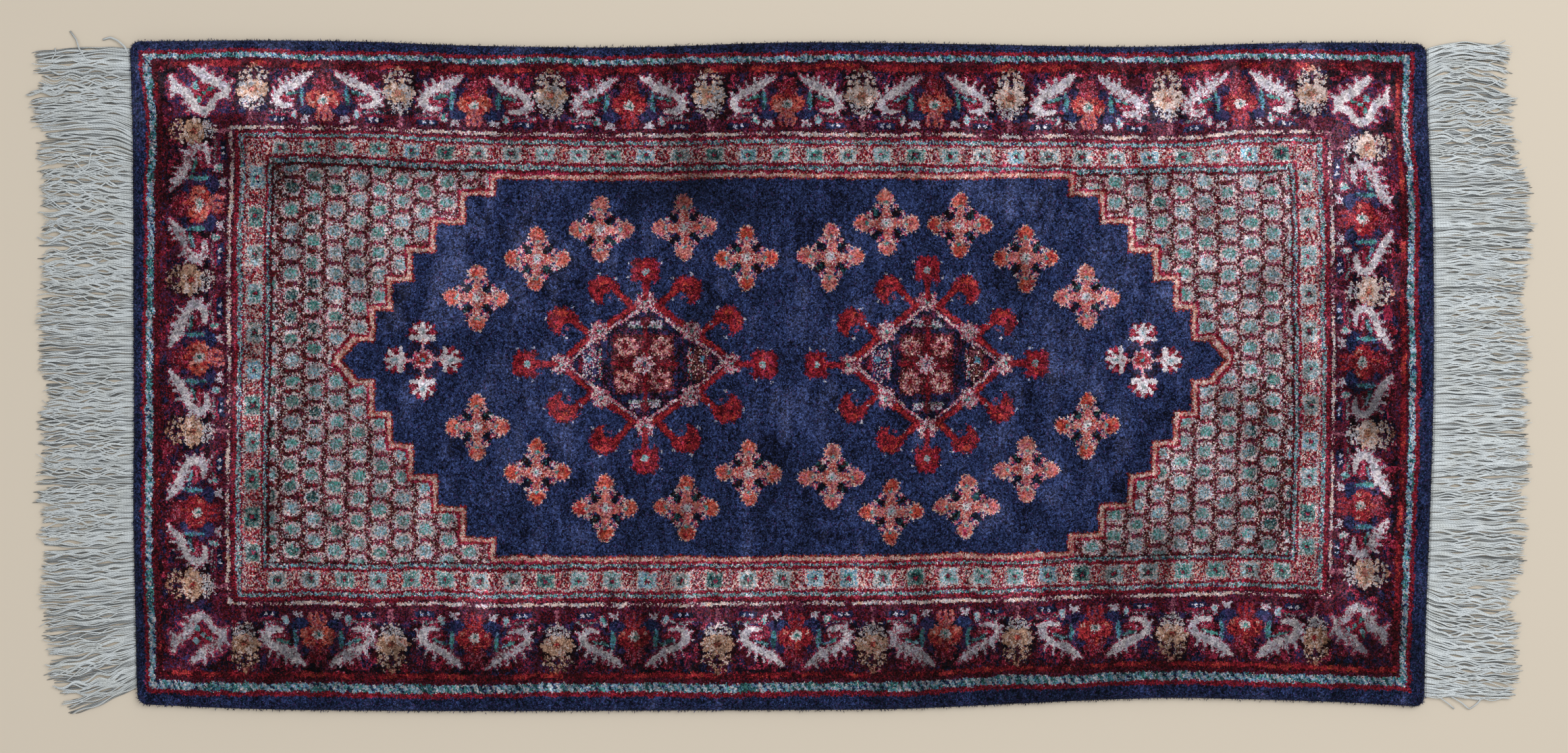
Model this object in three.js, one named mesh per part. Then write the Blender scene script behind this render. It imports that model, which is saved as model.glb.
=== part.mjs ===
// A small knotted silk rug, laid out flat with its warp ends left as a fringe at both short
// ends. Millimetres, +Z up. X runs along the rug and Y across it. The origin is the centre of
// the pile's underside, which lies on z = 0.
import * as THREE from "three";

// The knotted pile on its foundation, straight and square before it is laid.
const PILE_LENGTH = 1220;
const PILE_WIDTH = 625;
const PILE_HEIGHT = 8;
const CORNER_RADIUS = 9;
const CORNER_STEPS = 4;
const LONG_SIDE_STEPS = 30;
const SHORT_END_STEPS = 40;

// The rim is rounded: at each height the outline is drawn in by this much.
const RIM_SECTION = [
  { height: 0, drawnIn: 1.6 },
  { height: 3.4, drawnIn: 0 },
  { height: 6.4, drawnIn: 1.3 },
  { height: PILE_HEIGHT, drawnIn: 5 },
];

// How far each edge of the laid rug bulges past its straight line, at places along it.
// Far is the long side at +Y, near the one at -Y.
const LONG_SIDE_BULGE = [
  { at: -610, far: 1.5, near: -3.5 },
  { at: -500, far: 2.5, near: 1 },
  { at: -400, far: 1.5, near: 2.5 },
  { at: -290, far: -2.5, near: 3 },
  { at: -145, far: -4, near: 2.5 },
  { at: 0, far: 0.5, near: 2 },
  { at: 110, far: 0, near: 1 },
  { at: 200, far: -1.5, near: -3 },
  { at: 300, far: -3.5, near: -7.5 },
  { at: 370, far: -3, near: -9.5 },
  { at: 450, far: -0.5, near: -8 },
  { at: 540, far: 0.5, near: -5 },
  { at: 610, far: -1, near: -1 },
];
const SHORT_END_BULGE = [
  { at: -312, left: -3, right: -8 },
  { at: -235, left: -1.5, right: -6.5 },
  { at: -130, left: 0.5, right: -2.5 },
  { at: -30, left: 0, right: 0.5 },
  { at: 60, left: 0.5, right: 1.2 },
  { at: 148, left: 0.6, right: 0 },
  { at: 240, left: 1.5, right: -4.6 },
  { at: 312, left: 4, right: -6 },
];

// The fringes: one comb at each end, a narrow web whose teeth are locks of loose warp ends.
const SEAM_GAP = 0.3;
const WEB_DEPTH = 3;
const TOOTH_PITCH = 15;
const TOOTH_GAP = 1.2;
const TOOTH_STEPS = 5;
const TOOTH_SHOULDER = 0.86;
const ROOT_HEIGHT = 3;
const TIP_HEIGHT = 1.8;
const TIP_RAGGEDNESS = 4;

// How the locks lie. Root is the place of a lock along the pile's end. Bow and sweep are how
// far it has drifted towards +Y half way out and at its tip, and reach is how far out it goes.
const LEFT_LOCKS = [
  { root: -292, bow: -19, sweep: -27, reach: 64 },
  { root: -278, bow: -13, sweep: -18, reach: 78 },
  { root: -250, bow: -12, sweep: -20, reach: 86 },
  { root: -225, bow: -8, sweep: -11, reach: 85 },
  { root: -186, bow: -7, sweep: -12, reach: 84 },
  { root: -150, bow: -5, sweep: -3, reach: 88 },
  { root: -113, bow: -1, sweep: -9, reach: 90 },
  { root: -78, bow: -10, sweep: -5, reach: 84 },
  { root: -41, bow: -7, sweep: -3, reach: 90 },
  { root: -5, bow: 10, sweep: 9, reach: 84 },
  { root: 24, bow: 1, sweep: 5, reach: 84 },
  { root: 64, bow: 14, sweep: 15, reach: 80 },
  { root: 110, bow: 18, sweep: 25, reach: 80 },
  { root: 145, bow: 9, sweep: 7, reach: 76 },
  { root: 175, bow: 3, sweep: -7, reach: 76 },
  { root: 205, bow: 3, sweep: -8, reach: 78 },
  { root: 232, bow: 13, sweep: 8, reach: 92 },
  { root: 270, bow: 3, sweep: 2, reach: 88 },
  { root: 304, bow: 3, sweep: -5, reach: 88 },
];
const RIGHT_LOCKS = [
  { root: -304, bow: -10, sweep: -12, reach: 78 },
  { root: -290, bow: -12, sweep: -12, reach: 84 },
  { root: -263, bow: -9, sweep: -8, reach: 84 },
  { root: -238, bow: -13, sweep: -15, reach: 79 },
  { root: -200, bow: -3, sweep: -2, reach: 85 },
  { root: -155, bow: 0, sweep: 3, reach: 87 },
  { root: -104, bow: 3, sweep: 0, reach: 91 },
  { root: -53, bow: 2, sweep: 2, reach: 89 },
  { root: 23, bow: 2, sweep: 2, reach: 86 },
  { root: 100, bow: -1, sweep: -2, reach: 84 },
  { root: 163, bow: 0, sweep: -4, reach: 85 },
  { root: 226, bow: -2, sweep: -3, reach: 71 },
  { root: 264, bow: 3, sweep: 0, reach: 71 },
  { root: 306, bow: 5, sweep: 1, reach: 72 },
];

const PILE_COLOUR = 0x2e3358;
const FRINGE_COLOUR = 0xd6dad6;

// A column of a table, read between its rows along a smooth curve.
function readTable(rows, key, place, column) {
  const last = rows.length - 1;
  if (place <= rows[0][key]) return rows[0][column];
  if (place >= rows[last][key]) return rows[last][column];
  const upper = rows.findIndex((row) => row[key] > place);
  const width = rows[upper][key] - rows[upper - 1][key];
  const share = (place - rows[upper - 1][key]) / width;
  const slope = (index) => {
    const before = rows[Math.max(index - 1, 0)];
    const after = rows[Math.min(index + 1, last)];
    return (after[column] - before[column]) / (after[key] - before[key]);
  };
  const rest = 1 - share;
  const ends = rows[upper - 1][column] * (1 + 2 * share) * rest * rest
    + rows[upper][column] * share * share * (3 - 2 * share);
  const bends = slope(upper - 1) * share * rest * rest - slope(upper) * share * share * rest;
  return ends + width * bends;
}

// Where a point of the straight rug comes to lie once the rug is on the floor.
function laid(x, y) {
  const end = x < 0 ? "left" : "right";
  const side = y < 0 ? "near" : "far";
  const stretchX = 1 + readTable(SHORT_END_BULGE, "at", y, end) / (PILE_LENGTH / 2);
  const stretchY = 1 + readTable(LONG_SIDE_BULGE, "at", x, side) / (PILE_WIDTH / 2);
  return new THREE.Vector2(x * stretchX, y * stretchY);
}

// The straight rug's outline with rounded corners, drawn in all round, anticlockwise.
function straightOutline(drawnIn) {
  const halfLength = PILE_LENGTH / 2 - drawnIn;
  const halfWidth = PILE_WIDTH / 2 - drawnIn;
  const radius = Math.max(CORNER_RADIUS - drawnIn, 1);
  const corners = [
    { x: halfLength - radius, y: halfWidth - radius, turn: 0 },
    { x: radius - halfLength, y: halfWidth - radius, turn: 1 },
    { x: radius - halfLength, y: radius - halfWidth, turn: 2 },
    { x: halfLength - radius, y: radius - halfWidth, turn: 3 },
  ];
  const points = [];
  corners.forEach((corner, index) => {
    const next = corners[(index + 1) % corners.length];
    for (let step = 0; step <= CORNER_STEPS; step += 1) {
      const angle = (Math.PI / 2) * (corner.turn + step / CORNER_STEPS);
      points.push([corner.x + radius * Math.cos(angle), corner.y + radius * Math.sin(angle)]);
    }
    const [fromX, fromY] = points[points.length - 1];
    const nextAngle = (Math.PI / 2) * (corner.turn + 1);
    const toX = next.x + radius * Math.cos(nextAngle);
    const toY = next.y + radius * Math.sin(nextAngle);
    const steps = index % 2 === 0 ? LONG_SIDE_STEPS : SHORT_END_STEPS;
    for (let step = 1; step < steps; step += 1) {
      const share = step / steps;
      points.push([fromX + (toX - fromX) * share, fromY + (toY - fromY) * share]);
    }
  });
  return points;
}

// A closed solid from rings of equal length, lowest first, capped at both ends. The caps take
// the triangles of the first ring's plan.
function closedSolid(rings) {
  const count = rings[0].length;
  const positions = [];
  rings.forEach((ring) => ring.forEach((point) => positions.push(point.x, point.y, point.z)));
  const plan = rings[0].map((point) => new THREE.Vector2(point.x, point.y));
  const top = (rings.length - 1) * count;
  const indices = [];
  THREE.ShapeUtils.triangulateShape(plan, []).forEach(([a, b, c]) => {
    indices.push(a, c, b);
    indices.push(top + a, top + b, top + c);
  });
  for (let level = 0; level < rings.length - 1; level += 1) {
    for (let place = 0; place < count; place += 1) {
      const next = (place + 1) % count;
      const low = level * count;
      const high = low + count;
      indices.push(low + place, low + next, high + next);
      indices.push(low + place, high + next, high + place);
    }
  }
  const geometry = new THREE.BufferGeometry();
  geometry.setAttribute("position", new THREE.Float32BufferAttribute(positions, 3));
  geometry.setIndex(indices);
  geometry.computeVertexNormals();
  return geometry;
}

// The pile: the laid outline carried up through the rounded rim.
function pileGeometry() {
  const rings = RIM_SECTION.map(({ height, drawnIn }) =>
    straightOutline(drawnIn).map(([x, y]) => {
      const point = laid(x, y);
      return new THREE.Vector3(point.x, point.y, height);
    }),
  );
  return closedSolid(rings);
}

// How far out from the pile's middle its end lies, at a place across the rug.
function pileEnd(outward, y) {
  return Math.abs(laid((outward * PILE_LENGTH) / 2, y).x) + SEAM_GAP;
}

// A place on the line that starts at a root on the pile's end and runs out along the locks.
function alongLock(locks, outward, root, out) {
  const reach = readTable(locks, "root", root, "reach");
  const bow = readTable(locks, "root", root, "bow");
  const sweep = readTable(locks, "root", root, "sweep");
  const share = out / reach;
  const drift = 4 * bow * share * (1 - share) + sweep * share * (2 * share - 1);
  return new THREE.Vector2(outward * (pileEnd(outward, root) + out), root + drift);
}

// A comb's plan, from the lowest root to the highest and back along the pile's end.
function combOutline(locks, outward) {
  const first = locks[0].root;
  const last = locks[locks.length - 1].root;
  const teeth = Math.round((last - first) / TOOTH_PITCH);
  const pitch = (last - first) / teeth;
  const points = [];
  const seam = [];
  for (let tooth = 0; tooth < teeth; tooth += 1) {
    const low = first + pitch * tooth + TOOTH_GAP / 2;
    const high = first + pitch * (tooth + 1) - TOOTH_GAP / 2;
    const middle = (low + high) / 2;
    const ragged = TIP_RAGGEDNESS * Math.sin(tooth * 2.4);
    const reach = readTable(locks, "root", middle, "reach") + ragged;
    const shoulder = reach * TOOTH_SHOULDER;
    for (let step = 0; step <= TOOTH_STEPS; step += 1) {
      const out = WEB_DEPTH + ((shoulder - WEB_DEPTH) * step) / TOOTH_STEPS;
      points.push(alongLock(locks, outward, low, out));
    }
    points.push(alongLock(locks, outward, middle, reach));
    for (let step = TOOTH_STEPS; step >= 0; step -= 1) {
      const out = WEB_DEPTH + ((shoulder - WEB_DEPTH) * step) / TOOTH_STEPS;
      points.push(alongLock(locks, outward, high, out));
    }
    seam.push(new THREE.Vector2(outward * pileEnd(outward, low), low));
    seam.push(new THREE.Vector2(outward * pileEnd(outward, high), high));
  }
  const outline = points.concat(seam.reverse());
  return outward < 0 ? outline.reverse() : outline;
}

// A comb: flat underneath, thickest at the web and thinner towards the tips.
function combGeometry(locks, outward) {
  const longest = Math.max(...locks.map((lock) => lock.reach));
  const outline = combOutline(locks, outward);
  const under = outline.map((point) => new THREE.Vector3(point.x, point.y, 0));
  const over = outline.map((point) => {
    const out = Math.abs(point.x) - PILE_LENGTH / 2;
    const share = THREE.MathUtils.clamp(out / longest, 0, 1);
    const height = THREE.MathUtils.lerp(ROOT_HEIGHT, TIP_HEIGHT, share);
    return new THREE.Vector3(point.x, point.y, height);
  });
  return closedSolid([under, over]);
}

function pieceOf(name, geometry, color, roughness) {
  const material = new THREE.MeshStandardMaterial({ color, roughness, metalness: 0 });
  const piece = new THREE.Mesh(geometry, material);
  piece.name = name;
  return piece;
}

const rug = new THREE.Group();
rug.add(pieceOf("pile", pileGeometry(), PILE_COLOUR, 0.6));
rug.add(pieceOf("fringe_left", combGeometry(LEFT_LOCKS, -1), FRINGE_COLOUR, 0.8));
rug.add(pieceOf("fringe_right", combGeometry(RIGHT_LOCKS, 1), FRINGE_COLOUR, 0.8));

export default rug;
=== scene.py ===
import math
from typing import NamedTuple

import bpy
import numpy as np
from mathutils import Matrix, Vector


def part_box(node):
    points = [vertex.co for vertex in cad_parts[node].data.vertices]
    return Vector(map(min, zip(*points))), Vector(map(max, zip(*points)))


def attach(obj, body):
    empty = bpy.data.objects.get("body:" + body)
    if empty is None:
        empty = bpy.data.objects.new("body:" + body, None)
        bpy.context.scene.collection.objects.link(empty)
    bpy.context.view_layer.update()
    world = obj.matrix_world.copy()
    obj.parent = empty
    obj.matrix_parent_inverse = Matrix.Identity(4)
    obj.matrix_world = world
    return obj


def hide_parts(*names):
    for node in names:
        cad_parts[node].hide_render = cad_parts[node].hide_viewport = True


bl_info = {
    "name": "Fringed Silk Rug",
    "version": (1, 0, 0),
    "blender": (4, 5, 0),
    "location": "View3D > Sidebar > Rug",
    "description": "Knots a small bordered silk rug tuft by tuft, with its warp fringes",
    "category": "Object",
}

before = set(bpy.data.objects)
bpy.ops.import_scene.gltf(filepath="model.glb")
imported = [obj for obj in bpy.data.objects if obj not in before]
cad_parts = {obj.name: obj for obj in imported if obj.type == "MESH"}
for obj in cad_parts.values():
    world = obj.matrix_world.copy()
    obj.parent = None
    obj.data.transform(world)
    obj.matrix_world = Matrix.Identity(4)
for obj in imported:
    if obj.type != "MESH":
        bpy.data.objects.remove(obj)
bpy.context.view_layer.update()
PILE_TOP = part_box("pile")[1].z
FRINGE_NODES = {"fringe_left": -1, "fringe_right": 1}

MM = 0.001

# The rug before it is laid, in millimetres, X along it and Y across it.
RUG_LENGTH = 1220.0
RUG_WIDTH = 625.0
RUG_HEIGHT = round(PILE_TOP / MM, 1)
CORNER_RADIUS = 9.0

# The rounded rim, from the top of the pile down: how far it is drawn in, and its height.
RIM = [(5.0, 7.2), (3.3, 6.7), (1.7, 5.7), (0.5, 4.4), (0.0, 3.0), (0.5, 1.3), (1.6, 0.0)]
RIM_DRAWN_IN = RIM[0][0]
EDGE_FALL = RUG_HEIGHT - RIM[0][1]
EDGE_FALL_REACH = 7.0
# How far the top lies below the rug's height, to leave room for its swells.
SWELL_ROOM = 0.3
# The swells: how many faces across and how high, then what each vertex adds of its own.
SWELLS = [(16, 0.28), (4, 0.16)]
VERTEX_SWELL = 0.12
VERTEX_SWAY = 0.3

# The pile's faces, and the tufts that each face carries along each of its sides.
FACES_ALONG = 407
FACES_ACROSS = 208
TUFTS_PER_FACE = 3
YARN_BASE = 32

# How far each edge of the laid rug bulges past its straight line, at places along it.
LONG_SIDE_BULGE = {
    "at": [-610, -500, -400, -290, -145, 0, 110, 200, 300, 370, 450, 540, 610],
    "far": [1.5, 2.5, 1.5, -2.5, -4, 0.5, 0, -1.5, -3.5, -3, -0.5, 0.5, -1],
    "near": [-3.5, 1, 2.5, 3, 2.5, 2, 1, -3, -7.5, -9.5, -8, -5, -1],
}
SHORT_END_BULGE = {
    "at": [-312, -235, -130, -30, 60, 148, 240, 312],
    "left": [-3, -1.5, 0.5, 0, 0.5, 0.6, 1.5, 4],
    "right": [-8, -6.5, -2.5, 0.5, 1.2, 0, -4.6, -6],
}

# How the fringe lies. Root is a place along the pile's end; kick is how far the strands there
# turn towards +Y as they leave it; bow and sweep are their further drift half way out and at
# the tip; reach is how far out they go; tangle is how much they wave and cross.
LOCKS = {
    -1: {
        "root": [-292, -283, -272, -262, -248, -230, -205, -160, -139, -123, -112, -92, -72, -58, -45, -22,
                 11, 30, 56, 84, 117, 146, 167, 192, 210, 229, 240, 248, 263, 272, 287, 304],
        "kick": [0, 0, 0, 0, 0, 0, 0, 0, 0, 0, 0, 0, 0, 0, 0, 0,
                 0, 0, 0, 1, 2, 2, 1, 2, 6, 8, 6, 4, 2, 0, 0, 0],
        "bow": [-14, -13, -12, -11, -9, -6, -4, -3, -2, -1, -1, -1, -2, -1, -1, -1,
                0, 0, 1, 1, 1, 2, 1, 1, 0, 0, 0, 0, 0, 0, 0, 1],
        "sweep": [-26, -20, -19, -19, -16, -10, -7, -4, -3, -3, -3, -3, -3, -2, -1, -1,
                  0, 0, 1, 1, 1, 2, 2, 0, -2, -3, -3, -2, -2, -1, -1, -3],
        "reach": [62, 68, 71, 78, 81, 80, 86, 82, 87, 84, 88, 85, 82, 85, 90, 79,
                  87, 86, 88, 81, 85, 81, 82, 83, 86, 84, 93, 89, 93, 85, 87, 88],
        "tangle": [0.7, 0.9, 1.0, 1.1, 1.0, 0.9, 0.6, 0.7, 0.8, 0.7, 0.8, 1.1, 1.2, 1.2, 0.9, 0.9,
                   0.7, 0.5, 0.8, 1.1, 1.3, 1.4, 1.3, 1.2, 0.7, 0.3, 0.2, 0.4, 1.1, 1.2, 0.7, 0.4],
    },
    1: {
        "root": [-300, -285, -268, -250, -228, -212, -184, -152, -130, -98, -66, -9,
                 52, 69, 102, 128, 154, 175, 192, 208, 225, 252, 268, 290, 304],
        "kick": [-1, -2, -4, -6, -8, -6, -1, 0, 0, 1, 1, 1,
                 1, 1, 1, 1, 0, 0, 0, 0, 1, 4, 6, 5, 1],
        "bow": [-1, -1, -2, -2, -1, -1, 0, 0, 0, 0, 0, 0,
                0, 0, 0, 0, 0, 0, 0, 0, 0, 0, 1, 2, 5],
        "sweep": [-2, -3, -3, -3, -2, -2, 0, 1, 0, 0, 0, 0,
                  0, -1, -1, -1, -1, 1, 0, -1, -1, -3, -6, -5, -1],
        "reach": [76, 84, 88, 84, 83, 78, 85, 89, 85, 89, 88, 85,
                  86, 80, 88, 92, 88, 91, 85, 81, 79, 78, 72, 75, 76],
        "tangle": [0.7, 0.8, 0.8, 0.9, 0.9, 0.8, 0.7, 0.7, 0.7, 0.7, 0.5, 0.5,
                   1.0, 1.0, 0.6, 0.6, 0.4, 0.5, 0.6, 0.9, 1.4, 1.3, 0.9, 0.7, 0.6],
    },
}
SEAM_GAP = 0.3

# Where each piece's run of chance starts.
DESIGN_SEED = 7
PILE_SEED = 11
TUFT_SEED = 23
FRINGE_SEED = 31


def read_table(table, key, place, column):
    """A column of a table, read between its rows along a smooth curve."""
    keys = np.array(table[key], float)
    values = np.array(table[column], float)
    place = np.clip(np.asarray(place, float), keys[0], keys[-1])
    upper = np.clip(np.searchsorted(keys, place, side="right"), 1, len(keys) - 1)
    lower = upper - 1
    before = np.maximum(np.arange(len(keys)) - 1, 0)
    after = np.minimum(np.arange(len(keys)) + 1, len(keys) - 1)
    slope = (values[after] - values[before]) / (keys[after] - keys[before])
    width = keys[upper] - keys[lower]
    share = (place - keys[lower]) / width
    rest = 1 - share
    ends = values[lower] * (1 + 2 * share) * rest**2 + values[upper] * share**2 * (3 - 2 * share)
    bends = slope[lower] * share * rest**2 - slope[upper] * share**2 * rest
    return ends + width * bends


def laid(x, y):
    """Where a point of the straight rug comes to lie once the rug is on the floor."""
    left = read_table(SHORT_END_BULGE, "at", y, "left")
    right = read_table(SHORT_END_BULGE, "at", y, "right")
    near = read_table(LONG_SIDE_BULGE, "at", x, "near")
    far = read_table(LONG_SIDE_BULGE, "at", x, "far")
    stretch_x = 1 + np.where(x < 0, left, right) / (RUG_LENGTH / 2)
    stretch_y = 1 + np.where(y < 0, near, far) / (RUG_WIDTH / 2)
    return x * stretch_x, y * stretch_y


CHART_LENGTH = RUG_LENGTH - 2 * RIM_DRAWN_IN
CHART_WIDTH = RUG_WIDTH - 2 * RIM_DRAWN_IN

# name: red, green, blue of the dyed silk, 0 to 255
YARNS = {
    "black": (12, 9, 15),
    "ink": (12, 16, 38),
    "navy": (33, 42, 79),
    "indigo": (51, 66, 112),
    "night teal": (20, 40, 60),
    "purple": (58, 46, 87),
    "plum": (92, 34, 62),
    "black maroon": (38, 11, 18),
    "maroon": (72, 19, 30),
    "dark madder": (106, 18, 31),
    "madder": (143, 31, 43),
    "bright madder": (168, 50, 54),
    "orange": (182, 74, 52),
    "coral": (190, 90, 78),
    "salmon": (196, 126, 118),
    "rose": (178, 107, 123),
    "dusty rose": (140, 78, 96),
    "crimson": (162, 46, 75),
    "cream": (214, 191, 185),
    "ivory": (216, 206, 210),
    "lilac": (192, 184, 200),
    "silver": (164, 164, 172),
    "tan": (190, 151, 129),
    "camel": (152, 109, 87),
    "brown": (104, 57, 48),
    "umber": (58, 32, 30),
    "turquoise": (84, 145, 171),
    "pale turquoise": (146, 181, 196),
    "teal": (80, 142, 136),
    "deep teal": (42, 82, 87),
    "sky": (116, 140, 180),
    "sage": (112, 124, 119),
}
YARN_ORDER = list(YARNS)


def read_mix(mix):
    """The yarn numbers and shares of a mix, such as "madder 3, dark madder 2"."""
    parts = [part.rsplit(" ", 1) for part in mix.split(", ")]
    numbers = np.array([YARN_ORDER.index(name) for name, share in parts])
    return numbers, np.array([float(share) for name, share in parts])


def smooth_noise(dice, shape, cell):
    """Soft noise about nought on a grid: random knots every cell tufts, joined smoothly."""
    cell_rows, cell_columns = cell if isinstance(cell, tuple) else (cell, cell)
    rows = int(shape[0] / cell_rows) + 3
    columns = int(shape[1] / cell_columns) + 3
    knots = dice.normal(size=(rows, columns))

    def share(count, step):
        """The knot before each place, and how far past it the place lies."""
        place = np.arange(count) / step
        low = place.astype(int)
        part = place - low
        return low, part * part * (3 - 2 * part)

    low_row, down = share(shape[0], cell_rows)
    low_column, across = share(shape[1], cell_columns)
    down = down[:, None]
    first = knots[low_row] * (1 - down) + knots[low_row + 1] * down
    return first[:, low_column] * (1 - across) + first[:, low_column + 1] * across


def ranked(values):
    """The same field spread evenly from 0 to 1."""
    order = values.ravel().argsort().argsort()
    return ((order + 0.5) / values.size).reshape(values.shape)


# How far the pattern lies from its straight lines, at places along each side: up on the
# long sides and right on the ends, at four depths from the edge inwards.
DRIFT_DEPTHS = {"far": [299, 262, 208, 185], "near": [297, 258, 194, 176]}
DRIFT_DEPTHS |= {"left": [597, 555, 499, 482], "right": [595, 553, 496, 480]}
LONG_DRIFT = {
    "at": [-600, -450, -300, -150, 0, 150, 300, 450, 600],
    "far": [
        [-1.6, -2, -2, -1.5, -1.5, -1, 0.5, -0.5, -1.5],
        [-1, 0, -2, -2, -3.5, -4, -5, -4, -4],
        [6.5, 6.5, 4.5, 2, 0, 0, -1, 1, 3.5],
        [4, 3, 1, -0.5, -1, -1.5, -2, 0, 2],
    ],
    "near": [
        [-0.5, 0.8, 1.5, 1, 2.2, 1.4, 2, 0.8, 2],
        [3, 4.8, 4.4, 4, 5.2, 4.8, 6.2, 5, 3.5],
        [1.8, 2, 1.2, 0.8, 1.3, 1.8, 3, 3, 3],
        [3, 3.4, 3.4, 3.6, 3.8, 4.4, 5.4, 5, 4],
    ],
}
END_DRIFT = {
    "at": [-280, -190, -90, 10, 110, 200, 280],
    "left": [
        [2, 2, 1.5, 1, 2.5, 4.2, 3],
        [2, 1.5, 0.5, 3, 2.5, 5, 5],
        [1, 0.5, 1, 1.8, 3.5, 5.5, 6],
        [0, 0, 1, 2, 4, 6, 6],
    ],
    "right": [
        [-3.4, -3, -2.3, -2.5, -4.6, -3.8, -2],
        [-3, -4, -2.5, -2.5, -3, -2, -1],
        [-0.5, -0.5, -1, -2, -3, -3, -3],
        [0, 0, -1, -2.5, -2.5, -2.5, -2.5],
    ],
}


# How far inside the innermost depth the drift has died away.
DRIFT_FADE = 40


def side_drift(table, side, along, depth):
    """The drift on one side, read between its depths; nothing well inside the innermost."""
    levels = DRIFT_DEPTHS[side]
    rows = [np.interp(along, table["at"], row) for row in table[side]]
    levels = levels + [levels[-1] - DRIFT_FADE]
    rows.append(np.zeros(along.shape))
    drift = rows[0]
    for number in range(1, len(levels)):
        outer, inner = levels[number - 1], levels[number]
        share = np.clip((outer - depth) / (outer - inner), 0, 1)
        before = rows[number - 1]
        drift = np.where(depth < outer, before + (rows[number] - before) * share, drift)
    return drift


def pattern_drift(x, y):
    """How far right and up the border's pattern lies of its straight lines."""
    up = np.where(y > 0, side_drift(LONG_DRIFT, "far", x, y), side_drift(LONG_DRIFT, "near", x, -y))
    right = np.where(x < 0, side_drift(END_DRIFT, "left", y, -x), side_drift(END_DRIFT, "right", y, x))
    return right, up


# Each motif reads the same chance field a golden share further round than the one before.
GOLDEN_SHARE = 0.618034
# How the knotting wavers: broad and local bends, in tufts across, and a tuft's stray in mm.
BROAD_WAVER = 55
LOCAL_WAVER = 7
LOCAL_STRAY = 0.55
# Patches of like yarn: tufts across, and how much neighbours agree.
FLECK_GRAIN = (2.2, 0.7)
CALM_GRAIN = (4.5, 2.6)
# How many tufts repeat the yarn of the tuft below.
SHARED_KNOTS = 0.35


class Chart:
    """The knotted design: for each tuft, where it reads the pattern and which yarn it is."""

    def __init__(self, seed):
        self.dice = np.random.default_rng(seed)
        self.rows = FACES_ACROSS * TUFTS_PER_FACE
        self.columns = FACES_ALONG * TUFTS_PER_FACE
        shape = (self.rows, self.columns)
        self.pitch_x = CHART_LENGTH / self.columns
        self.pitch_y = CHART_WIDTH / self.rows
        grid_x = (np.arange(self.columns) + 0.5) * self.pitch_x - CHART_LENGTH / 2
        grid_y = (np.arange(self.rows) + 0.5) * self.pitch_y - CHART_WIDTH / 2
        self.grid_x, self.grid_y = np.meshgrid(grid_x, grid_y)
        self.x = self.grid_x + self.waver(shape)
        self.y = self.grid_y + self.waver(shape)
        right, up = pattern_drift(self.grid_x, self.grid_y)
        self.band_x = self.x - right
        self.band_y = self.y - up
        self.yarn = np.zeros(shape, np.int8)
        self.fleck = self.streaky(shape, *FLECK_GRAIN)
        self.calm = self.streaky(shape, *CALM_GRAIN)
        self.turn = 0.0

    def waver(self, shape):
        """How far off its true place a tuft reads the pattern, in millimetres."""
        broad = smooth_noise(self.dice, shape, BROAD_WAVER)
        local = smooth_noise(self.dice, shape, LOCAL_WAVER) * LOCAL_STRAY
        own = self.dice.normal(size=shape) * LOCAL_STRAY
        return broad + local + own

    def streaky(self, shape, cell, evenness):
        """Random numbers from 0 to 1 which neighbouring tufts often share."""
        own = self.dice.normal(size=shape)
        same = self.dice.random(shape) < SHARED_KNOTS
        own[1:] = np.where(same[1:], own[:-1], own[1:])
        shared = smooth_noise(self.dice, shape, (cell * 1.5, cell))
        return ranked(own + shared * evenness)

    def whole(self):
        """The whole chart, seen from the rug's middle."""
        everything = (slice(0, self.rows), slice(0, self.columns))
        return Patch(self, everything, self.x, self.y)

    def around(self, x, y, reach, along=(1.0, 0.0), out=(0.0, 1.0), bands=False):
        """The tufts within reach of a place, with the place as their origin."""
        first_row = int((y - reach + CHART_WIDTH / 2) / self.pitch_y)
        last_row = int((y + reach + CHART_WIDTH / 2) / self.pitch_y) + 1
        first_column = int((x - reach + CHART_LENGTH / 2) / self.pitch_x)
        last_column = int((x + reach + CHART_LENGTH / 2) / self.pitch_x) + 1
        cells = (
            slice(max(first_row, 0), min(last_row, self.rows)),
            slice(max(first_column, 0), min(last_column, self.columns)),
        )
        x_off = (self.band_x if bands else self.x)[cells] - x
        y_off = (self.band_y if bands else self.y)[cells] - y
        u = x_off * along[0] + y_off * along[1]
        v = x_off * out[0] + y_off * out[1]
        return Patch(self, cells, u, v)


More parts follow.
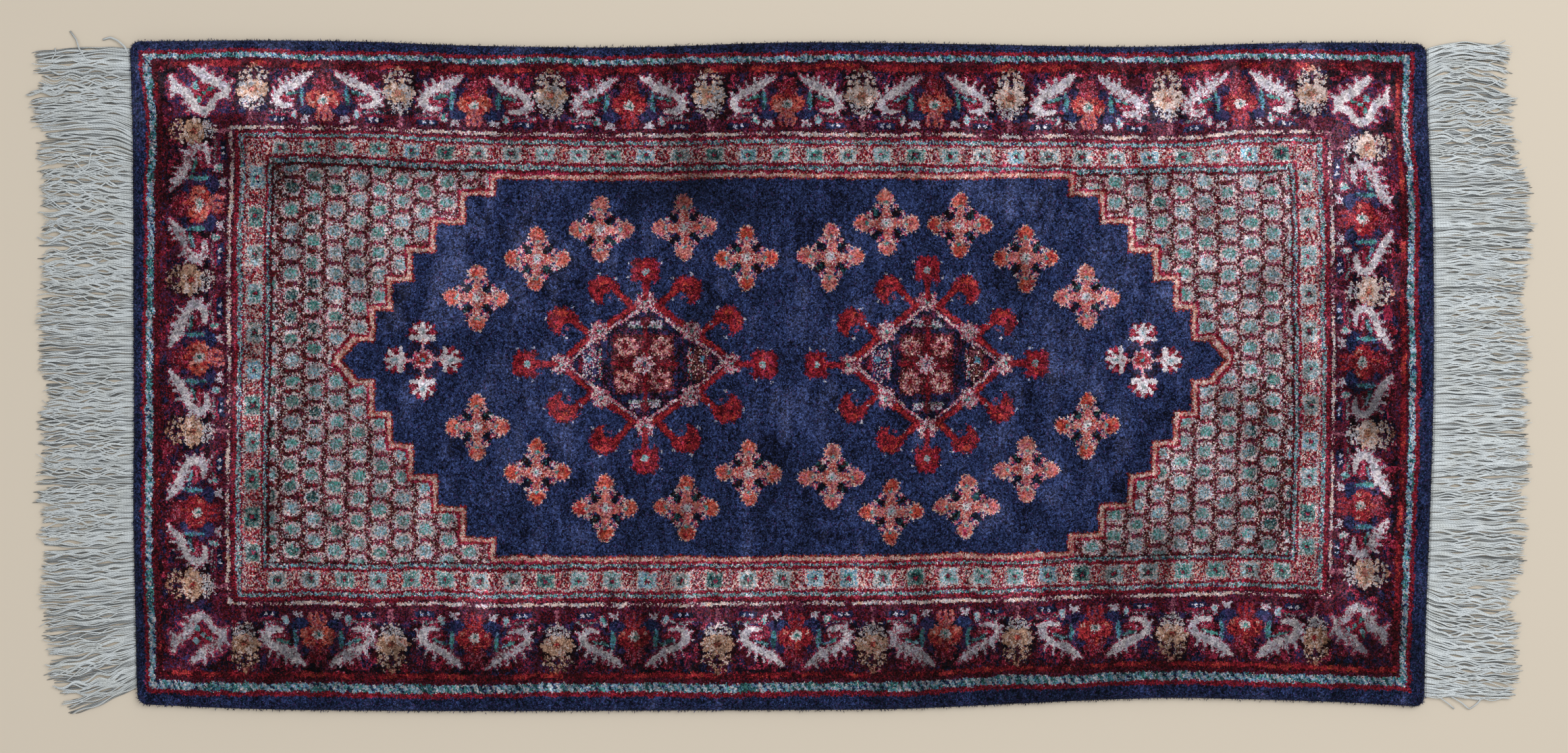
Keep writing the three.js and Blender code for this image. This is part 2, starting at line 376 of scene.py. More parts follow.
class Patch:
    """Some of the chart's tufts seen from a motif's own middle, u along it and v out of it."""

    def __init__(self, chart, cells, u, v):
        self.chart = chart
        self.cells = cells
        self.u = u
        self.v = v

    def turned(self, quarters):
        """The same tufts with the motif turned by quarter turns."""
        u, v = self.u, self.v
        for _ in range(quarters % 4):
            u, v = v, -u
        return Patch(self.chart, self.cells, u, v)

    def flipped(self, side_u, side_v):
        """The same tufts with the motif turned over where a side is -1."""
        return Patch(self.chart, self.cells, self.u * side_u, self.v * side_v)

    def halves(self):
        """Both halves of a motif that is alike on both sides of its middle line."""
        return self, self.flipped(-1, 1)

    def arms(self):
        """The motif's four arms, a quarter turn apart."""
        return [self.turned(quarters) for quarters in range(4)]

    def scaled(self, wide, high):
        """The same tufts with the motif drawn wider and higher."""
        return Patch(self.chart, self.cells, self.u / wide, self.v / high)

    def moved(self, u, v):
        """The same tufts seen from another place on the motif."""
        return Patch(self.chart, self.cells, self.u - u, self.v - v)

    def work(self, inside, mix, calm=False):
        """Knots the tufts inside with a mix of yarns, which lie in patches where calm."""
        chart = self.chart
        chart.turn = (chart.turn + GOLDEN_SHARE) % 1.0
        yarn = chart.yarn[self.cells]
        source = chart.calm if calm else chart.fleck
        fleck = (source[self.cells][inside] + chart.turn) % 1.0
        numbers, shares = read_mix(mix)
        shares = np.cumsum(shares)
        picked = np.searchsorted(shares / shares[-1], fleck, side="right")
        yarn[inside] = numbers[np.minimum(picked, len(numbers) - 1)]

    def disc(self, mix, *measures, calm=False):
        """Works an ellipse, measured as in_disc takes it."""
        self.work(self.in_disc(*measures), mix, calm)

    def box(self, mix, *sides, calm=False):
        """Works a box, whose sides in_box takes."""
        self.work(self.in_box(*sides), mix, calm)

    def stroke(self, mix, points, grow=0.0, calm=False):
        """Works a brush stroke, let out all round by grow."""
        self.work(self.in_stroke(points, grow), mix, calm)

    def ring(self, mix, count, middle, reach, spot):
        """Works a ring of small spots round a middle."""
        for number in range(count):
            turn = number * math.tau / count
            u = middle[0] + reach[0] * math.cos(turn)
            v = middle[1] + reach[1] * math.sin(turn)
            self.disc(mix, u, v, *spot)

    def in_disc(self, u, v, half_u, half_v, teeth=0, depth=0.0, start=0.0):
        """An ellipse, whose edge may be toothed."""
        du = (self.u - u) / half_u
        dv = (self.v - v) / half_v
        edge = 1.0
        if teeth:
            edge = 1.0 + depth * np.cos(teeth * np.arctan2(dv, du) + start)
        return du * du + dv * dv < edge * edge

    def in_box(self, low_u, high_u, low_v, high_v):
        """A box between four sides."""
        return (self.u > low_u) & (self.u < high_u) & (self.v > low_v) & (self.v < high_v)

    def in_stroke(self, points, grow=0.0):
        """A brush stroke through points of (u, v, half its width there)."""
        inside = np.zeros(self.u.shape, bool)
        for (u0, v0, h0), (u1, v1, h1) in zip(points, points[1:]):
            du, dv = u1 - u0, v1 - v0
            share = ((self.u - u0) * du + (self.v - v0) * dv) / (du * du + dv * dv)
            share = np.clip(share, 0.0, 1.0)
            gap = np.hypot(self.u - u0 - share * du, self.v - v0 - share * dv)
            inside |= gap < h0 + (h1 - h0) * share + grow
        return inside


# ------------------------------ Mixes of yarn
FIELD = "navy 4.4, indigo 4.2, ink 2.2, purple 0.3"
CORAL = "coral 4, salmon 2.4, orange 2.4, bright madder 2, rose 1"
CORAL_PALE = "salmon 3, rose 2.2, coral 2.6, cream 1.4, crimson 1, madder 1, orange 0.8"
PETAL_RIM = "cream 3.6, salmon 2.8, rose 1.6, dusty rose 1.2, tan 1.8, coral 1, ivory 0.4"
SHADOW = "deep teal 1.6, black 2.4, black maroon 1.4, ink 4, umber 0.8"
RED = "madder 5, bright madder 2.4, dark madder 3.4, crimson 0.8"
RED_DEEP = "dark madder 5, madder 2, maroon 2"
FLECKED_PINK = "rose 3, lilac 1.6, cream 1.8, crimson 2.6, dusty rose 2.4, maroon 1.8, teal 0.4"
WHITE = "ivory 5, lilac 2.2, silver 1.2"
RED_SPOT = "crimson 3, plum 2, dark madder 2"
RED_EDGE = "dark madder 3, maroon 2"
PALE_SPOT = "lilac 3, silver 2, sky 2, navy 2"
WATER_PALE = "ivory 2.6, pale turquoise 4, sky 2.4, silver 2, turquoise 1.2"
WATER_DEEP = "turquoise 2, teal 3, deep teal 3.4, navy 2.4, purple 0.8, sky 0.8"
RED_HORN = "madder 4, bright madder 2.4, dark madder 4, orange 0.8, maroon 1.6, crimson 0.5"

# Each band of the border, outermost first: how far its outer edge lies from the middle.
BANDS = [
    # band, far, near, left, right
    ("selvedge", 313.5, 313.5, 611.0, 611.0),
    ("red line", 305.6, 300.2, 603.0, 599.2),
    ("water line", 302.0, 295.8, 599.6, 594.8),
    ("plum line", 297.2, 288.8, 593.4, 588.8),
    ("flame line", 294.4, 285.4, 591.2, 586.2),
    ("ground", 288.2, 279.8, 587.2, 581.2),
    ("shade line", 243.0, 233.4, 540.5, 535.6),
    ("cream line", 229.4, 217.0, 524.2, 519.2),
    ("shade line", 226.0, 213.8, 520.8, 516.4),
    ("guard red", 224.4, 212.2, 518.8, 514.6),
    ("guard teal", 221.8, 208.4, 514.7, 510.6),
    ("guard red", 218.0, 204.6, 510.2, 506.4),
    ("block edge", 215.6, 202.0, 508.6, 505.0),
    ("blocks", 214.2, 200.2, 506.8, 503.4),
    ("block edge", 201.8, 186.4, 492.4, 488.6),
    ("guard red", 200.2, 184.8, 491.0, 487.0),
    ("guard teal", 197.4, 182.2, 488.6, 484.4),
    ("guard dark", 193.6, 179.0, 485.2, 480.8),
    ("panel", 191.2, 177.2, 482.4, 478.2),
]
# The bright part of the flame line: far, near, left, right.
FLAME_OUTER = (294.0, 284.0, 591.2, 586.0)
FLAME_INNER = (288.8, 280.4, 587.4, 581.6)
BAND_MIXES = {
    "selvedge": "navy 5, indigo 2.4, ink 2.6, night teal 1.2, purple 0.9",
    "red line": "dark madder 4, madder 3, crimson 1.2, plum 1.4",
    "water line": "turquoise 4, pale turquoise 3, ivory 1.6, teal 2, sky 1.8, deep teal 1.4",
    "plum line": "plum 3, maroon 4, dark madder 2, black maroon 1.4",
    "flame line": "dark madder 2.6, madder 0.6, maroon 5, black maroon 2.2",
    "ground": "black maroon 3, maroon 3.8, plum 1.2, dark madder 1.8, ink 1.2, navy 0.7, purple 0.5",
    "shade line": "maroon 3, plum 3, ink 1.6, dark madder 2, black maroon 1",
    "cream line": "cream 3.4, tan 1.4, silver 2.6, dusty rose 2.4, umber 1.6, lilac 1.4",
    "guard red": "madder 2.4, dark madder 4, crimson 2, maroon 2, plum 0.6",
    "guard teal": (
        "turquoise 1, teal 2.4, pale turquoise 2, silver 2, ivory 1.4, deep teal 1.4, "
        "dusty rose 1.6, sage 1.4, dark madder 1.2, purple 1.2, navy 1"
    ),
    "block edge": "cream 2, silver 2, salmon 1.4, dusty rose 2, lilac 1.2, madder 1.6",
    "blocks": (
        "madder 3, dark madder 3, bright madder 1.2, cream 2.8, salmon 1.2, rose 1.6, "
        "maroon 2, dusty rose 1, silver 1.6"
    ),
    "guard dark": "maroon 4, dark madder 3, black maroon 2",
    "panel": "umber 2, maroon 2.6, brown 2, dusty rose 2, cream 1, dark madder 1.6, silver 0.8",
}


def band_edges(name, which=0):
    """The outer edges of a band, or of its next one: far, near, left, right."""
    found = [row for row in BANDS if row[0] == name]
    return found[which][1:]


def inside_edges(chart, edges):
    """The tufts inside four edges."""
    far, near, left, right = edges
    x, y = chart.band_x, chart.band_y
    return (y < far) & (y > -near) & (x > -left) & (x < right)


def between(chart, outer, inner, which=0):
    """The tufts of a band, from its own outer edge in to the next band's."""
    return inside_edges(chart, band_edges(outer)) & ~inside_edges(chart, band_edges(inner, which))


WATER_PITCH = 8.6
WATER_SLANT = 0.8
# Past this far along the rug, the water line's strokes waver and part as on its ends.
END_STROKES_FROM = 590


def work_bands(chart):
    """The straight bands, and the water line's slanting strokes, pale and deep by turns."""
    whole = chart.whole()
    for name, *edges in BANDS:
        whole.work(inside_edges(chart, edges), BAND_MIXES[name])
    water = between(chart, "water line", "plum line")
    sway = smooth_noise(chart.dice, water.shape, 8)
    on_end = np.abs(chart.band_x) > END_STROKES_FROM
    sway = sway * np.where(on_end, 4.5, 2.4)
    stroke = (chart.band_x + chart.band_y * WATER_SLANT + sway) % WATER_PITCH
    deep = stroke > np.where(on_end, 5.4, 4.8)
    # Painted sheen and shade along the water line: blotches of paler yarn and of deeper yarn.
    blotches = smooth_noise(chart.dice, water.shape, 11)
    whole.work(water & ~deep, WATER_PALE)
    whole.work(water & ~deep & (blotches > 0.5), "ivory 4, pale turquoise 4, sky 2, silver 1")
    whole.work(water & deep, WATER_DEEP, calm=True)
    whole.work(water & (blotches < -0.9), "teal 4, deep teal 3, turquoise 2, navy 1.6, ivory 0.6")


# ------------------------------ The field
FIELD_MIDDLE = (-0.5, 11.0)
FIELD_TIP_RISE = 4.0
STEPS = [
    # from the middle line, half the field's length there
    (20.5, 385.0),
    (50.5, 368.2),
    (79.0, 349.0),
    (107.5, 326.3),
    (136.5, 300.0),
    (164.5, 272.0),
    (182.0, 0.0),
]
TIP_SHOULDER = 401.0
TIP_REACH = 418.5
HALF_ABOVE = 172.5
HALF_BELOW = 178.2
HALF_DRAWN = 178.0


def field_place(chart):
    """The field's own coordinates: its middle line lies a little high, more so at the tips."""
    u = chart.x - FIELD_MIDDLE[0]
    rise = FIELD_MIDDLE[1] + FIELD_TIP_RISE * (u / TIP_REACH) ** 2
    v = chart.y - rise
    v = v * np.where(v > 0, HALF_DRAWN / HALF_ABOVE, HALF_DRAWN / HALF_BELOW)
    return u, v


def field_inside(u, v, grow):
    """Inside the stepped outline, let out by grow all round."""
    across = np.maximum(np.abs(v) - grow, 0.0)
    half = np.full(u.shape, TIP_SHOULDER)
    for place, length in STEPS:
        half = np.where(across > place, length, half)
    tip = TIP_REACH - (TIP_REACH - TIP_SHOULDER) * across / STEPS[0][0]
    half = np.where(across < STEPS[0][0], tip, half)
    return (np.abs(u) - grow < half) & (half > 0)


def work_field(chart):
    """The stepped blue field inside its red, cream and brown outlines."""
    u, v = field_place(chart)
    whole = chart.whole()
    whole.work(field_inside(u, v, 5.0), "crimson 4, madder 3, dark madder 3", calm=True)
    whole.work(field_inside(u, v, 2.4), "salmon 3.4, cream 4, rose 1.4, coral 1, tan 2")
    whole.work(field_inside(u, v, -1.2), "brown 3, dark madder 2, madder 3, orange 0.8")
    inside = field_inside(u, v, -2.9)
    whole.work(inside, FIELD)
    # Streaks of darker and lighter dye lots across the open field.
    blotches = smooth_noise(chart.dice, chart.x.shape, (10, 7)) + smooth_noise(chart.dice, chart.x.shape, 30)
    whole.work(inside & (blotches > 1.5), "ink 5, navy 4, indigo 0.6")
    whole.work(inside & (blotches < -1.5), "indigo 5, navy 4, ink 0.6")


CROSS_REACH = 38
CROSS_SCALE = 0.91
CROSS_PLACES = [
    (-287.8, 73.7), (-232.0, 110.5), (-171.2, 139.4), (-93.2, 140.4), (-34.1, 109.9),
    (43.9, 112.0), (95.5, 143.0), (165.1, 142.0), (227.3, 110.5), (284.7, 73.5),
    (-287.0, -48.0), (-230.7, -89.5), (-167.0, -123.0), (-91.0, -123.0), (-32.0, -90.4),
    (45.2, -94.0), (102.0, -128.0), (172.5, -124.0), (228.5, -89.2), (284.7, -48.5),
]


def work_cross(patch):
    """A flower of four lobed arms; no two are dyed quite alike."""
    dice = patch.chart.dice
    fire = "coral 3, orange 3, bright madder 2.4, madder 1.4, salmon 1"
    blush = "salmon 4, coral 3, rose 2.4, crimson 0.8, bright madder 0.8"
    dyes = [(CORAL, CORAL_PALE), (fire, CORAL_PALE), (blush, CORAL_PALE), (fire, blush)]
    lobe, heart = dyes[dice.integers(4)]
    for arm in patch.arms():
        for side in arm.halves():
            side.stroke(SHADOW, [(7.0, 7.0, 2.6), (12.4, 12.4, 3.8)], calm=True)
    for arm in patch.arms():
        arm.disc(PETAL_RIM, 0, 24.4, 9.0, 8.4, 11, 0.14, 0.6)
        arm.disc(PETAL_RIM, 0, 28.4, 6.2, 5.6, 9, 0.14, 0.6)
        for side in arm.halves():
            side.disc("rose 3, crimson 2.4, cream 2, lilac 1", 9.4, 17.2, 3.0, 2.8, 5, 0.3)
            side.disc("crimson 2, rose 1, dark madder 1", 5.0, 13.4, 2.0, 1.6)
        arm.disc(lobe, 0, 25.4, 7.4, 6.2, 9, 0.1, 0.6, calm=True)
        arm.disc(lobe, 0, 28.6, 4.8, 4.4, calm=True)
        arm.stroke(PETAL_RIM, [(0, 3, 6.2), (0, 17, 3.6)])
        arm.stroke(heart, [(0, 3, 4.8), (0, 17, 2.4)])
        arm.disc("rose 2, salmon 2, dusty rose 1.6, cream 1", 0, 19.6, 3.6, 2.6)
        arm.disc("teal 3, sage 2, pale turquoise 1.4", 0, 20.6, 2.2, 1.7)
    patch.disc(heart, 0, 0, 10.4, 9.2, 12, 0.1)
    patch.disc("rose 2, cream 3, madder 2, lilac 1.5", 0, 0, 6.4, 5.6)
    patch.disc(WHITE, 0, 0, 3.4, 3.6, calm=True)
    patch.disc("teal 3, deep teal 1", 0, 0, 1.2, 1.2)


WHITE_CROSS_PLACES = [(-338.6, 14.5), (337.4, 14.5)]
WHITE_CROSS_REACH = 44
WHITE_CROSS_SCALE = 0.97


def work_white_cross(patch):
    """A flower of four white forked arms on red lobes."""
    patch.disc("navy 3, ink 3, black maroon 2, purple 1", 0, 0, 19, 19)
    red = "dark madder 4, madder 2.6, crimson 2, maroon 2"
    for arm in patch.arms():
        arm.disc(red, 0, 26, 13.0, 11.0, 11, 0.12, calm=True)
        for side in arm.halves():
            side.stroke(WHITE, [(2, 27, 2.6), (8.0, 32.0, 1.8)])
            side.disc(red, 4.6, 31.0, 1.3, 2.2)
            side.disc("crimson 3, madder 2, rose 1", 9.6, 27.0, 2.6, 2.4)
        arm.stroke(WHITE, [(-10.6, 21.2, 2.4), (10.6, 21.2, 2.4)])
        arm.stroke(WHITE, [(0, 21, 4.6), (0, 29, 3.8), (0, 36.0, 1.6)])
        arm.disc("pale turquoise 2, silver 2, sage 1.5", 0, 27, 1.8, 3.4)
        arm.stroke("rose 3, cream 2, lilac 1", [(0, 7, 1.2), (0, 20, 1.2)])
    patch.disc("rose 3, lilac 2, cream 1.6, crimson 2", 0, 0, 10.6, 10.2, 8, 0.1)
    patch.disc("madder 3, bright madder 1.6, brown 1.4, rose 1", 0, 0, 6.6, 6.6)
    patch.disc("turquoise 3, teal 2, deep teal 1", 0, 0, 2.2, 2.2)


# ------------------------------ The medallions
MEDALLION_PLACES = [
    # x, y, how wide for its height
    (-129.5, 10.8, 1.0),
    (134.6, 10.4, 0.905),
]
MEDALLION_REACH = 130
# A quarter of the medallion's frame, from its top to its end.
FRAME_QUARTER = [(0, 58), (12, 49), (24, 40.5), (36, 32.5), (48, 23), (62, 12), (76, 0)]
# Round knots on the frame.
KNOT_PLACES = [(80.5, 0), (0, 59.5), (43, 31)]
# Each horn: its stem and the middle of its head.
HORNS = [
    ([(15, 58, 2.4), (24, 66, 2.4), (31, 72, 2.8)], (38.8, 70.0)),
    ([(54, 30, 2.4), (63, 38, 2.4), (70, 43, 2.8)], (77.4, 40.5)),
]
# How far out the flower on each arm stands: right, up, left, down as the motif turns.
ARM_REACHES = (111, 88, 112, 88)
FLORETS = [(-17.0, 16.6), (14.5, 16.6), (-18.0, -16.0), (14.0, -16.0)]


def work_horn(quarter, stem, head):
    """A ram's horn: a thick stem with a round head that is open beside the stem."""
    u, v = head
    notch_u, notch_v = u - 6.4, v - 9.0
    quarter.disc("dark madder 3, maroon 2, crimson 1.4, navy 1", u, v, 14.6, 14.2, 11, 0.06)
    quarter.disc(RED_HORN, u, v, 12.8, 12.4, 9, 0.1, u, calm=True)
    quarter.disc("bright madder 3, orange 2, madder 3", u + 1.5, v + 8.0, 6.4, 2.8, calm=True)
    swirl = [(u - 4.0, v + 3.6, 0.9), (u + 4.4, v + 3.4, 1.4), (u + 6.6, v - 5.0, 1.0)]
    quarter.stroke("dark madder 3, maroon 3, black maroon 1, crimson 1", swirl)
    quarter.disc(FIELD, notch_u, notch_v, 8.0, 7.2)
    quarter.disc("purple 2, dusty rose 2, navy 1, crimson 1", notch_u + 1.6, notch_v + 1.6, 2.4, 2.0)
    quarter.stroke(RED_EDGE, stem, 0.9)
    quarter.stroke("madder 4, bright madder 2, dark madder 3, orange 0.4", stem)
    for turn in (0.2, 1.3, 2.6, 4.4):
        spot_u = u + 16.4 * math.cos(turn + u)
        spot_v = v + 16.0 * math.sin(turn + u)
        quarter.disc("lilac 3, silver 2, sky 2, navy 1", spot_u, spot_v, 1.4, 1.4)


def work_arm_flower(arm, reach):
    """The toothed red flower on its stalk at the end of a medallion's arm."""
    stalk = [(reach - 26, 0, 2.2), (reach - 8, 0, 2.8)]
    arm.stroke(RED_EDGE, stalk, 0.8)
    arm.stroke(RED, stalk)
    squared = ((arm.u - reach) / 13.6) ** 4 + (arm.v / 12.8) ** 4
    edge = 1.0 + 0.3 * np.cos(12 * np.arctan2(arm.v, arm.u - reach))
    arm.work(squared < edge, "dark madder 5, maroon 2, madder 2, crimson 2", calm=True)
    petals = "madder 4, dark madder 3, bright madder 2, crimson 1, orange 0.5"
    arm.disc(petals, reach + 0.6, 0, 10.4, 9.6, 8, 0.1, calm=True)
    arm.ring("maroon 3, dark madder 2, crimson 1.4", 6, (reach, 0), (7.4, 7.0), (1.5, 1.5))
    for side in (1, -1):
        arm.disc(FIELD, reach - 12.0, side * 6.0, 3.6, 2.6)
        arm.disc(PALE_SPOT, reach - 6, side * 15.4, 1.3, 1.3)
        arm.disc(PALE_SPOT, reach + 8, side * 15.0, 1.2, 1.2)
    arm.disc("silver 3, teal 2, pale turquoise 2, rose 1", reach, 0, 3.2, 3.4)


def work_medallion(patch):
    """A medallion: its dark ground, horns and frame, four arm flowers and a middle square."""
    quarters = [patch.flipped(*sides) for sides in ((1, 1), (-1, 1), (1, -1), (-1, -1))]
    ground = np.zeros(patch.u.shape, bool)
    for quarter in quarters:
        for (u0, v0), (u1, v1) in zip(FRAME_QUARTER, FRAME_QUARTER[1:]):
            share = np.clip((quarter.u - u0) / (u1 - u0), 0, 1)
            below = quarter.v < v0 + (v1 - v0) * share
            ground |= below & (quarter.u >= max(u0, -1)) & (quarter.u <= u1) & (quarter.v > -1)
    patch.work(ground, "ink 3, navy 2, purple 1.6, black 2, plum 1.6, black maroon 1", calm=True)
    for quarter in quarters:
        for stem, head in HORNS:
            work_horn(quarter, stem, head)
        outer = [(u + 2.0, v + 2.8, 2.1) for u, v in FRAME_QUARTER]
        quarter.stroke("dark madder 3, maroon 2, crimson 1", outer, 1.0)
        quarter.stroke("madder 4, bright madder 2, dark madder 3, orange 0.6", outer)
        inner = [(u - 1.0, v - 1.2, 1.5) for u, v in FRAME_QUARTER]
        quarter.stroke("rose 3, lilac 2, cream 3, crimson 1.6, dusty rose 1.4, maroon 1", inner)
        for u, v in KNOT_PLACES:
            quarter.disc(FLECKED_PINK, u, v, 9.6, 9.4, 8, 0.14)
            quarter.ring("lilac 2, rose 2.4, cream 2", 6, (u, v), (6.0, 6.0), (1.7, 1.5))
            quarter.disc("teal 2, silver 2, deep teal 1", u, v, 2.0, 2.0)
    for quarters_round in (0, 2, 1, 3):
        work_arm_flower(patch.turned(quarters_round), ARM_REACHES[quarters_round])
    work_square(patch)


def work_square(patch):
    """The medallion's middle square, with its florets, bars and fans."""
    square = "maroon 3, plum 0.6, dark madder 3.4, black maroon 2.4, brown 1.4, umber 1, rose 0.5"
    patch.box(square, -29.5, 26.5, -27, 28)
    patch.box(RED_DEEP, -31, 29, -1.8, 1.8)
    patch.box("madder 2, dark madder 4, maroon 2", -2.4, 2.4, -36, 36)
    floret = "dusty rose 2, rose 1.4, salmon 2, cream 1, dark madder 3, brown 1.8"
    for u, v in FLORETS:
        patch.disc(floret, u, v, 10.6, 10.2, 8, 0.16)
        patch.ring("salmon 2, cream 2, rose 2", 8, (u, v), (7.2, 7.0), (1.5, 1.5))
        patch.disc(RED_DEEP, u, v, 2.4, 2.4)
    patch.disc("rose 3, lilac 2.4, cream 1.2, dark madder 1.6", -1.5, 0, 9.0, 8.6, 8, 0.2)
    patch.disc("dusty rose 1, purple 1, deep teal 1", -1.5, 0, 2.6, 2.6)
    for flip in (1, -1):
        bar = patch.flipped(1, flip)
        bar.box("silver 2, sage 3, lilac 1, deep teal 1, dusty rose 1", -16, 16, 34.6, 37.0)
        bar.box("lilac 2, silver 2, dusty rose 2, purple 1.4, plum 1", -15, -3.4, 37.0, 41.5)
        bar.box("lilac 2, silver 2, dusty rose 2, purple 1.4, umber 1", 3.4, 15, 37.0, 41.5)
        bar.disc("maroon 3, dark madder 2, dusty rose 1, umber 1", 0, 40.0, 4.6, 5.2)
        side = patch.flipped(flip, 1)
        fan = "dusty rose 2.4, maroon 2, umber 2.4, cream 1.4, black maroon 2, brown 2"
        if flip < 0:
            fan = "dusty rose 2, crimson 1, purple 3, navy 2, lilac 2, black 1.6, ivory 0.6"
        side.disc(fan, 50, 0, 11.0, 15.0, 7, 0.15)
        side.box("rose 2, lilac 1.2, teal 1.2, madder 1.6, umber 1", 39.6, 42.4, -15, 15)
        side.disc("sky 2, turquoise 2, deep teal 1", 52, 4, 2.6, 3.0)
        side.disc("madder 2, plum 2, maroon 1", 60, 0, 2.6, 7.0)


def work_flowers_of_field(chart):
    """All that lies in the open field."""
    for x, y in CROSS_PLACES:
        work_cross(chart.around(x, y, CROSS_REACH).scaled(CROSS_SCALE, CROSS_SCALE))
    for x, y in WHITE_CROSS_PLACES:
        patch = chart.around(x, y, WHITE_CROSS_REACH)
        work_white_cross(patch.scaled(WHITE_CROSS_SCALE, WHITE_CROSS_SCALE))
    for x, y, wide in MEDALLION_PLACES:
        work_medallion(chart.around(x, y, MEDALLION_REACH).scaled(wide, 1.0))


# ------------------------------ The spandrels
BLOSSOM_COLUMN = 20.91
BLOSSOM_ROW = 19.85
BLOSSOM_START = (-419.5, 174.2)
BLOSSOM_KINDS = [
    # the blossoms whose tone lies between these, and what their hearts are worked in
    (0.0, 0.22, "teal 3, sage 3, deep teal 2, silver 1.4"),
    (0.22, 0.42, "silver 2.4, pale turquoise 2.4, teal 3, sage 1"),
    (0.42, 0.62, "teal 4, pale turquoise 1.6, silver 2, sage 2"),
    (0.62, 0.82, "silver 3, ivory 0.8, pale turquoise 2, turquoise 1, sage 2"),
    (0.82, 1.01, "deep teal 4, sage 2, silver 1.4, umber 0.8"),
]


def blossom_tone(column, row):
    """A number from 0 to 1 that is the same all over one blossom."""
    return (np.sin(column * 12.9898 + row * 78.233) * 43758.5453) % 1.0


def work_spandrels(chart):
    """The corner panels: rows of pale blossoms, a little red bar between each and the next."""
    u, v = field_place(chart)
    corner = inside_edges(chart, band_edges("panel")) & ~field_inside(u, v, 5.0)
    column = np.round((chart.x - BLOSSOM_START[0]) / BLOSSOM_COLUMN)
    x_off = chart.x - BLOSSOM_START[0] - column * BLOSSOM_COLUMN
    start = BLOSSOM_START[1] + np.where(column % 2 == 0, 0.0, BLOSSOM_ROW / 2)
    row = np.round((chart.y - start) / BLOSSOM_ROW)
    y_off = chart.y - start - row * BLOSSOM_ROW
    # The panels grow paler towards the field, and the far right one is pale all over.
    pale = np.clip((np.abs(chart.x) - 470) / -110, 0, 1) > 0.3
    pale |= (chart.x > 0) & (chart.y > 0)
    across, up = np.abs(x_off), np.abs(y_off)
    whole = chart.whole()
    whole.work(
        corner,
        "umber 1.6, maroon 3, brown 2, dusty rose 2, dark madder 2, cream 1.4, black maroon 1.6, silver 1",
    )
    fringe = corner & (up < 8.8) & (across + up * 0.5 < 10.6)
    whole.work(fringe & pale, "dusty rose 2, rose 2, cream 1.6, brown 2, maroon 2.4, lilac 1")
    bar = corner & (up > 8.2) & (across < 5.4)
    whole.work(bar, "madder 0.8, dark madder 2.4, brown 2, maroon 4, plum 1, umber 2.4", calm=True)
    whole.work(bar & pale, "dusty rose 2.4, plum 2, maroon 2.4, brown 2, crimson 1.2, cream 0.5")
    rim = corner & (up < 7.7) & (across + up * 0.4 < 9.3)
    rim_mix = "silver 2, ivory 1.4, cream 2.6, rose 1.2, lilac 2, dusty rose 1.4, maroon 1.6, umber 1.2"
    pale_rim_mix = "silver 2, ivory 1.8, cream 3.6, rose 1.4, lilac 2, dusty rose 1.4, maroon 1, brown 1"
    whole.work(rim, rim_mix)
    whole.work(rim & pale, pale_rim_mix)
    tone = blossom_tone(column, row)
    tone = np.where(pale, 0.2 + tone * 0.62, tone)
    heart = corner & ((across / 6.1) ** 2.4 + (up / 4.9) ** 2.4 < 1.0)
    for low, high, mix in BLOSSOM_KINDS:
        whole.work(heart & (tone >= low) & (tone < high), mix)


# ------------------------------ The block band
BLOCKS_ALONG = 31
BLOCKS_ACROSS = 11
BLOCK_REACH = 22
# Half a block's width, as a share of the pitch.
BLOCK_SHARE = 0.268
BLOCK_DYES = [
    # the block, and the ring round its spot
    ("teal 4, sage 2, pale turquoise 2, silver 2, ivory 1", "deep teal 2, teal 2, sage 1"),
    ("pale turquoise 3, silver 3, teal 2, ivory 1.4", "deep teal 1, teal 2, silver 2"),
    ("silver 3, sage 2, pale turquoise 2, cream 1.4", "umber 1, deep teal 2, sage 2"),
    ("turquoise 2, silver 2, pale turquoise 3, sky 1, ivory 1", "teal 3, ivory 1, navy 1"),
    ("deep teal 2, sage 3, teal 2, silver 1.4", "umber 1, deep teal 3, black 0.6"),
]


def work_blocks(chart):
    """Pale blocks, each with a spot in its middle, between red ones, all round."""
    far, near, left, right = band_edges("blocks")
    inner_far, inner_near, inner_left, inner_right = band_edges("guard red", 2)
    long_run = (inner_left + inner_right, BLOCKS_ALONG, (right - left) / 2)
    short_run = (inner_far + inner_near, BLOCKS_ACROSS, (far - near) / 2)
    runs = [
        # the band's middle line, its half width, then its run: length, blocks, middle
        ((far + inner_far) / 2, (far - inner_far) / 2, long_run),
        (-(near + inner_near) / 2, (near - inner_near) / 2, long_run),
        (-(left + inner_left) / 2, (left - inner_left) / 2, short_run),
        ((right + inner_right) / 2, (right - inner_right) / 2, short_run),
    ]
    for line, half, run in runs:
        span, count, middle = run
        pitch = span / count
        for number in range(count):
            place = (number + 0.5) * pitch - span / 2 + middle
            if run is long_run:
                patch = chart.around(place, line, BLOCK_REACH, bands=True)
            else:
                patch = chart.around(line, place, BLOCK_REACH, (0.0, 1.0), (1.0, 0.0), bands=True)
            work_block(patch, pitch * BLOCK_SHARE, half - 0.4)


def work_block(patch, half_u, half_v):
    """One pale block with its spot; each is dyed a little differently."""
    core, ring = BLOCK_DYES[patch.chart.dice.integers(len(BLOCK_DYES))]
    edge = "cream 3, silver 2, ivory 1.4, salmon 1, dusty rose 1, sage 1, crimson 0.8"
    patch.box(edge, -half_u - 0.6, half_u + 0.6, -half_v, half_v)
    patch.box(core, -half_u + 0.8, half_u - 0.8, -half_v + 1.0, half_v - 1.0)
    patch.disc(ring, 0, 0, 4.2, 3.8, 4, 0.2, math.pi)
    patch.disc(RED_SPOT, 0, 0, 2.0, 1.8)


# ------------------------------ The main border
LEAF_WHITE = "ivory 5, lilac 2, silver 1"
LEAF_BLUSH = "ivory 3, lilac 3, silver 2, rose 1, dusty rose 0.8"
DARK_GROUND = "black maroon 3, black 1, ink 1.4, maroon 1"

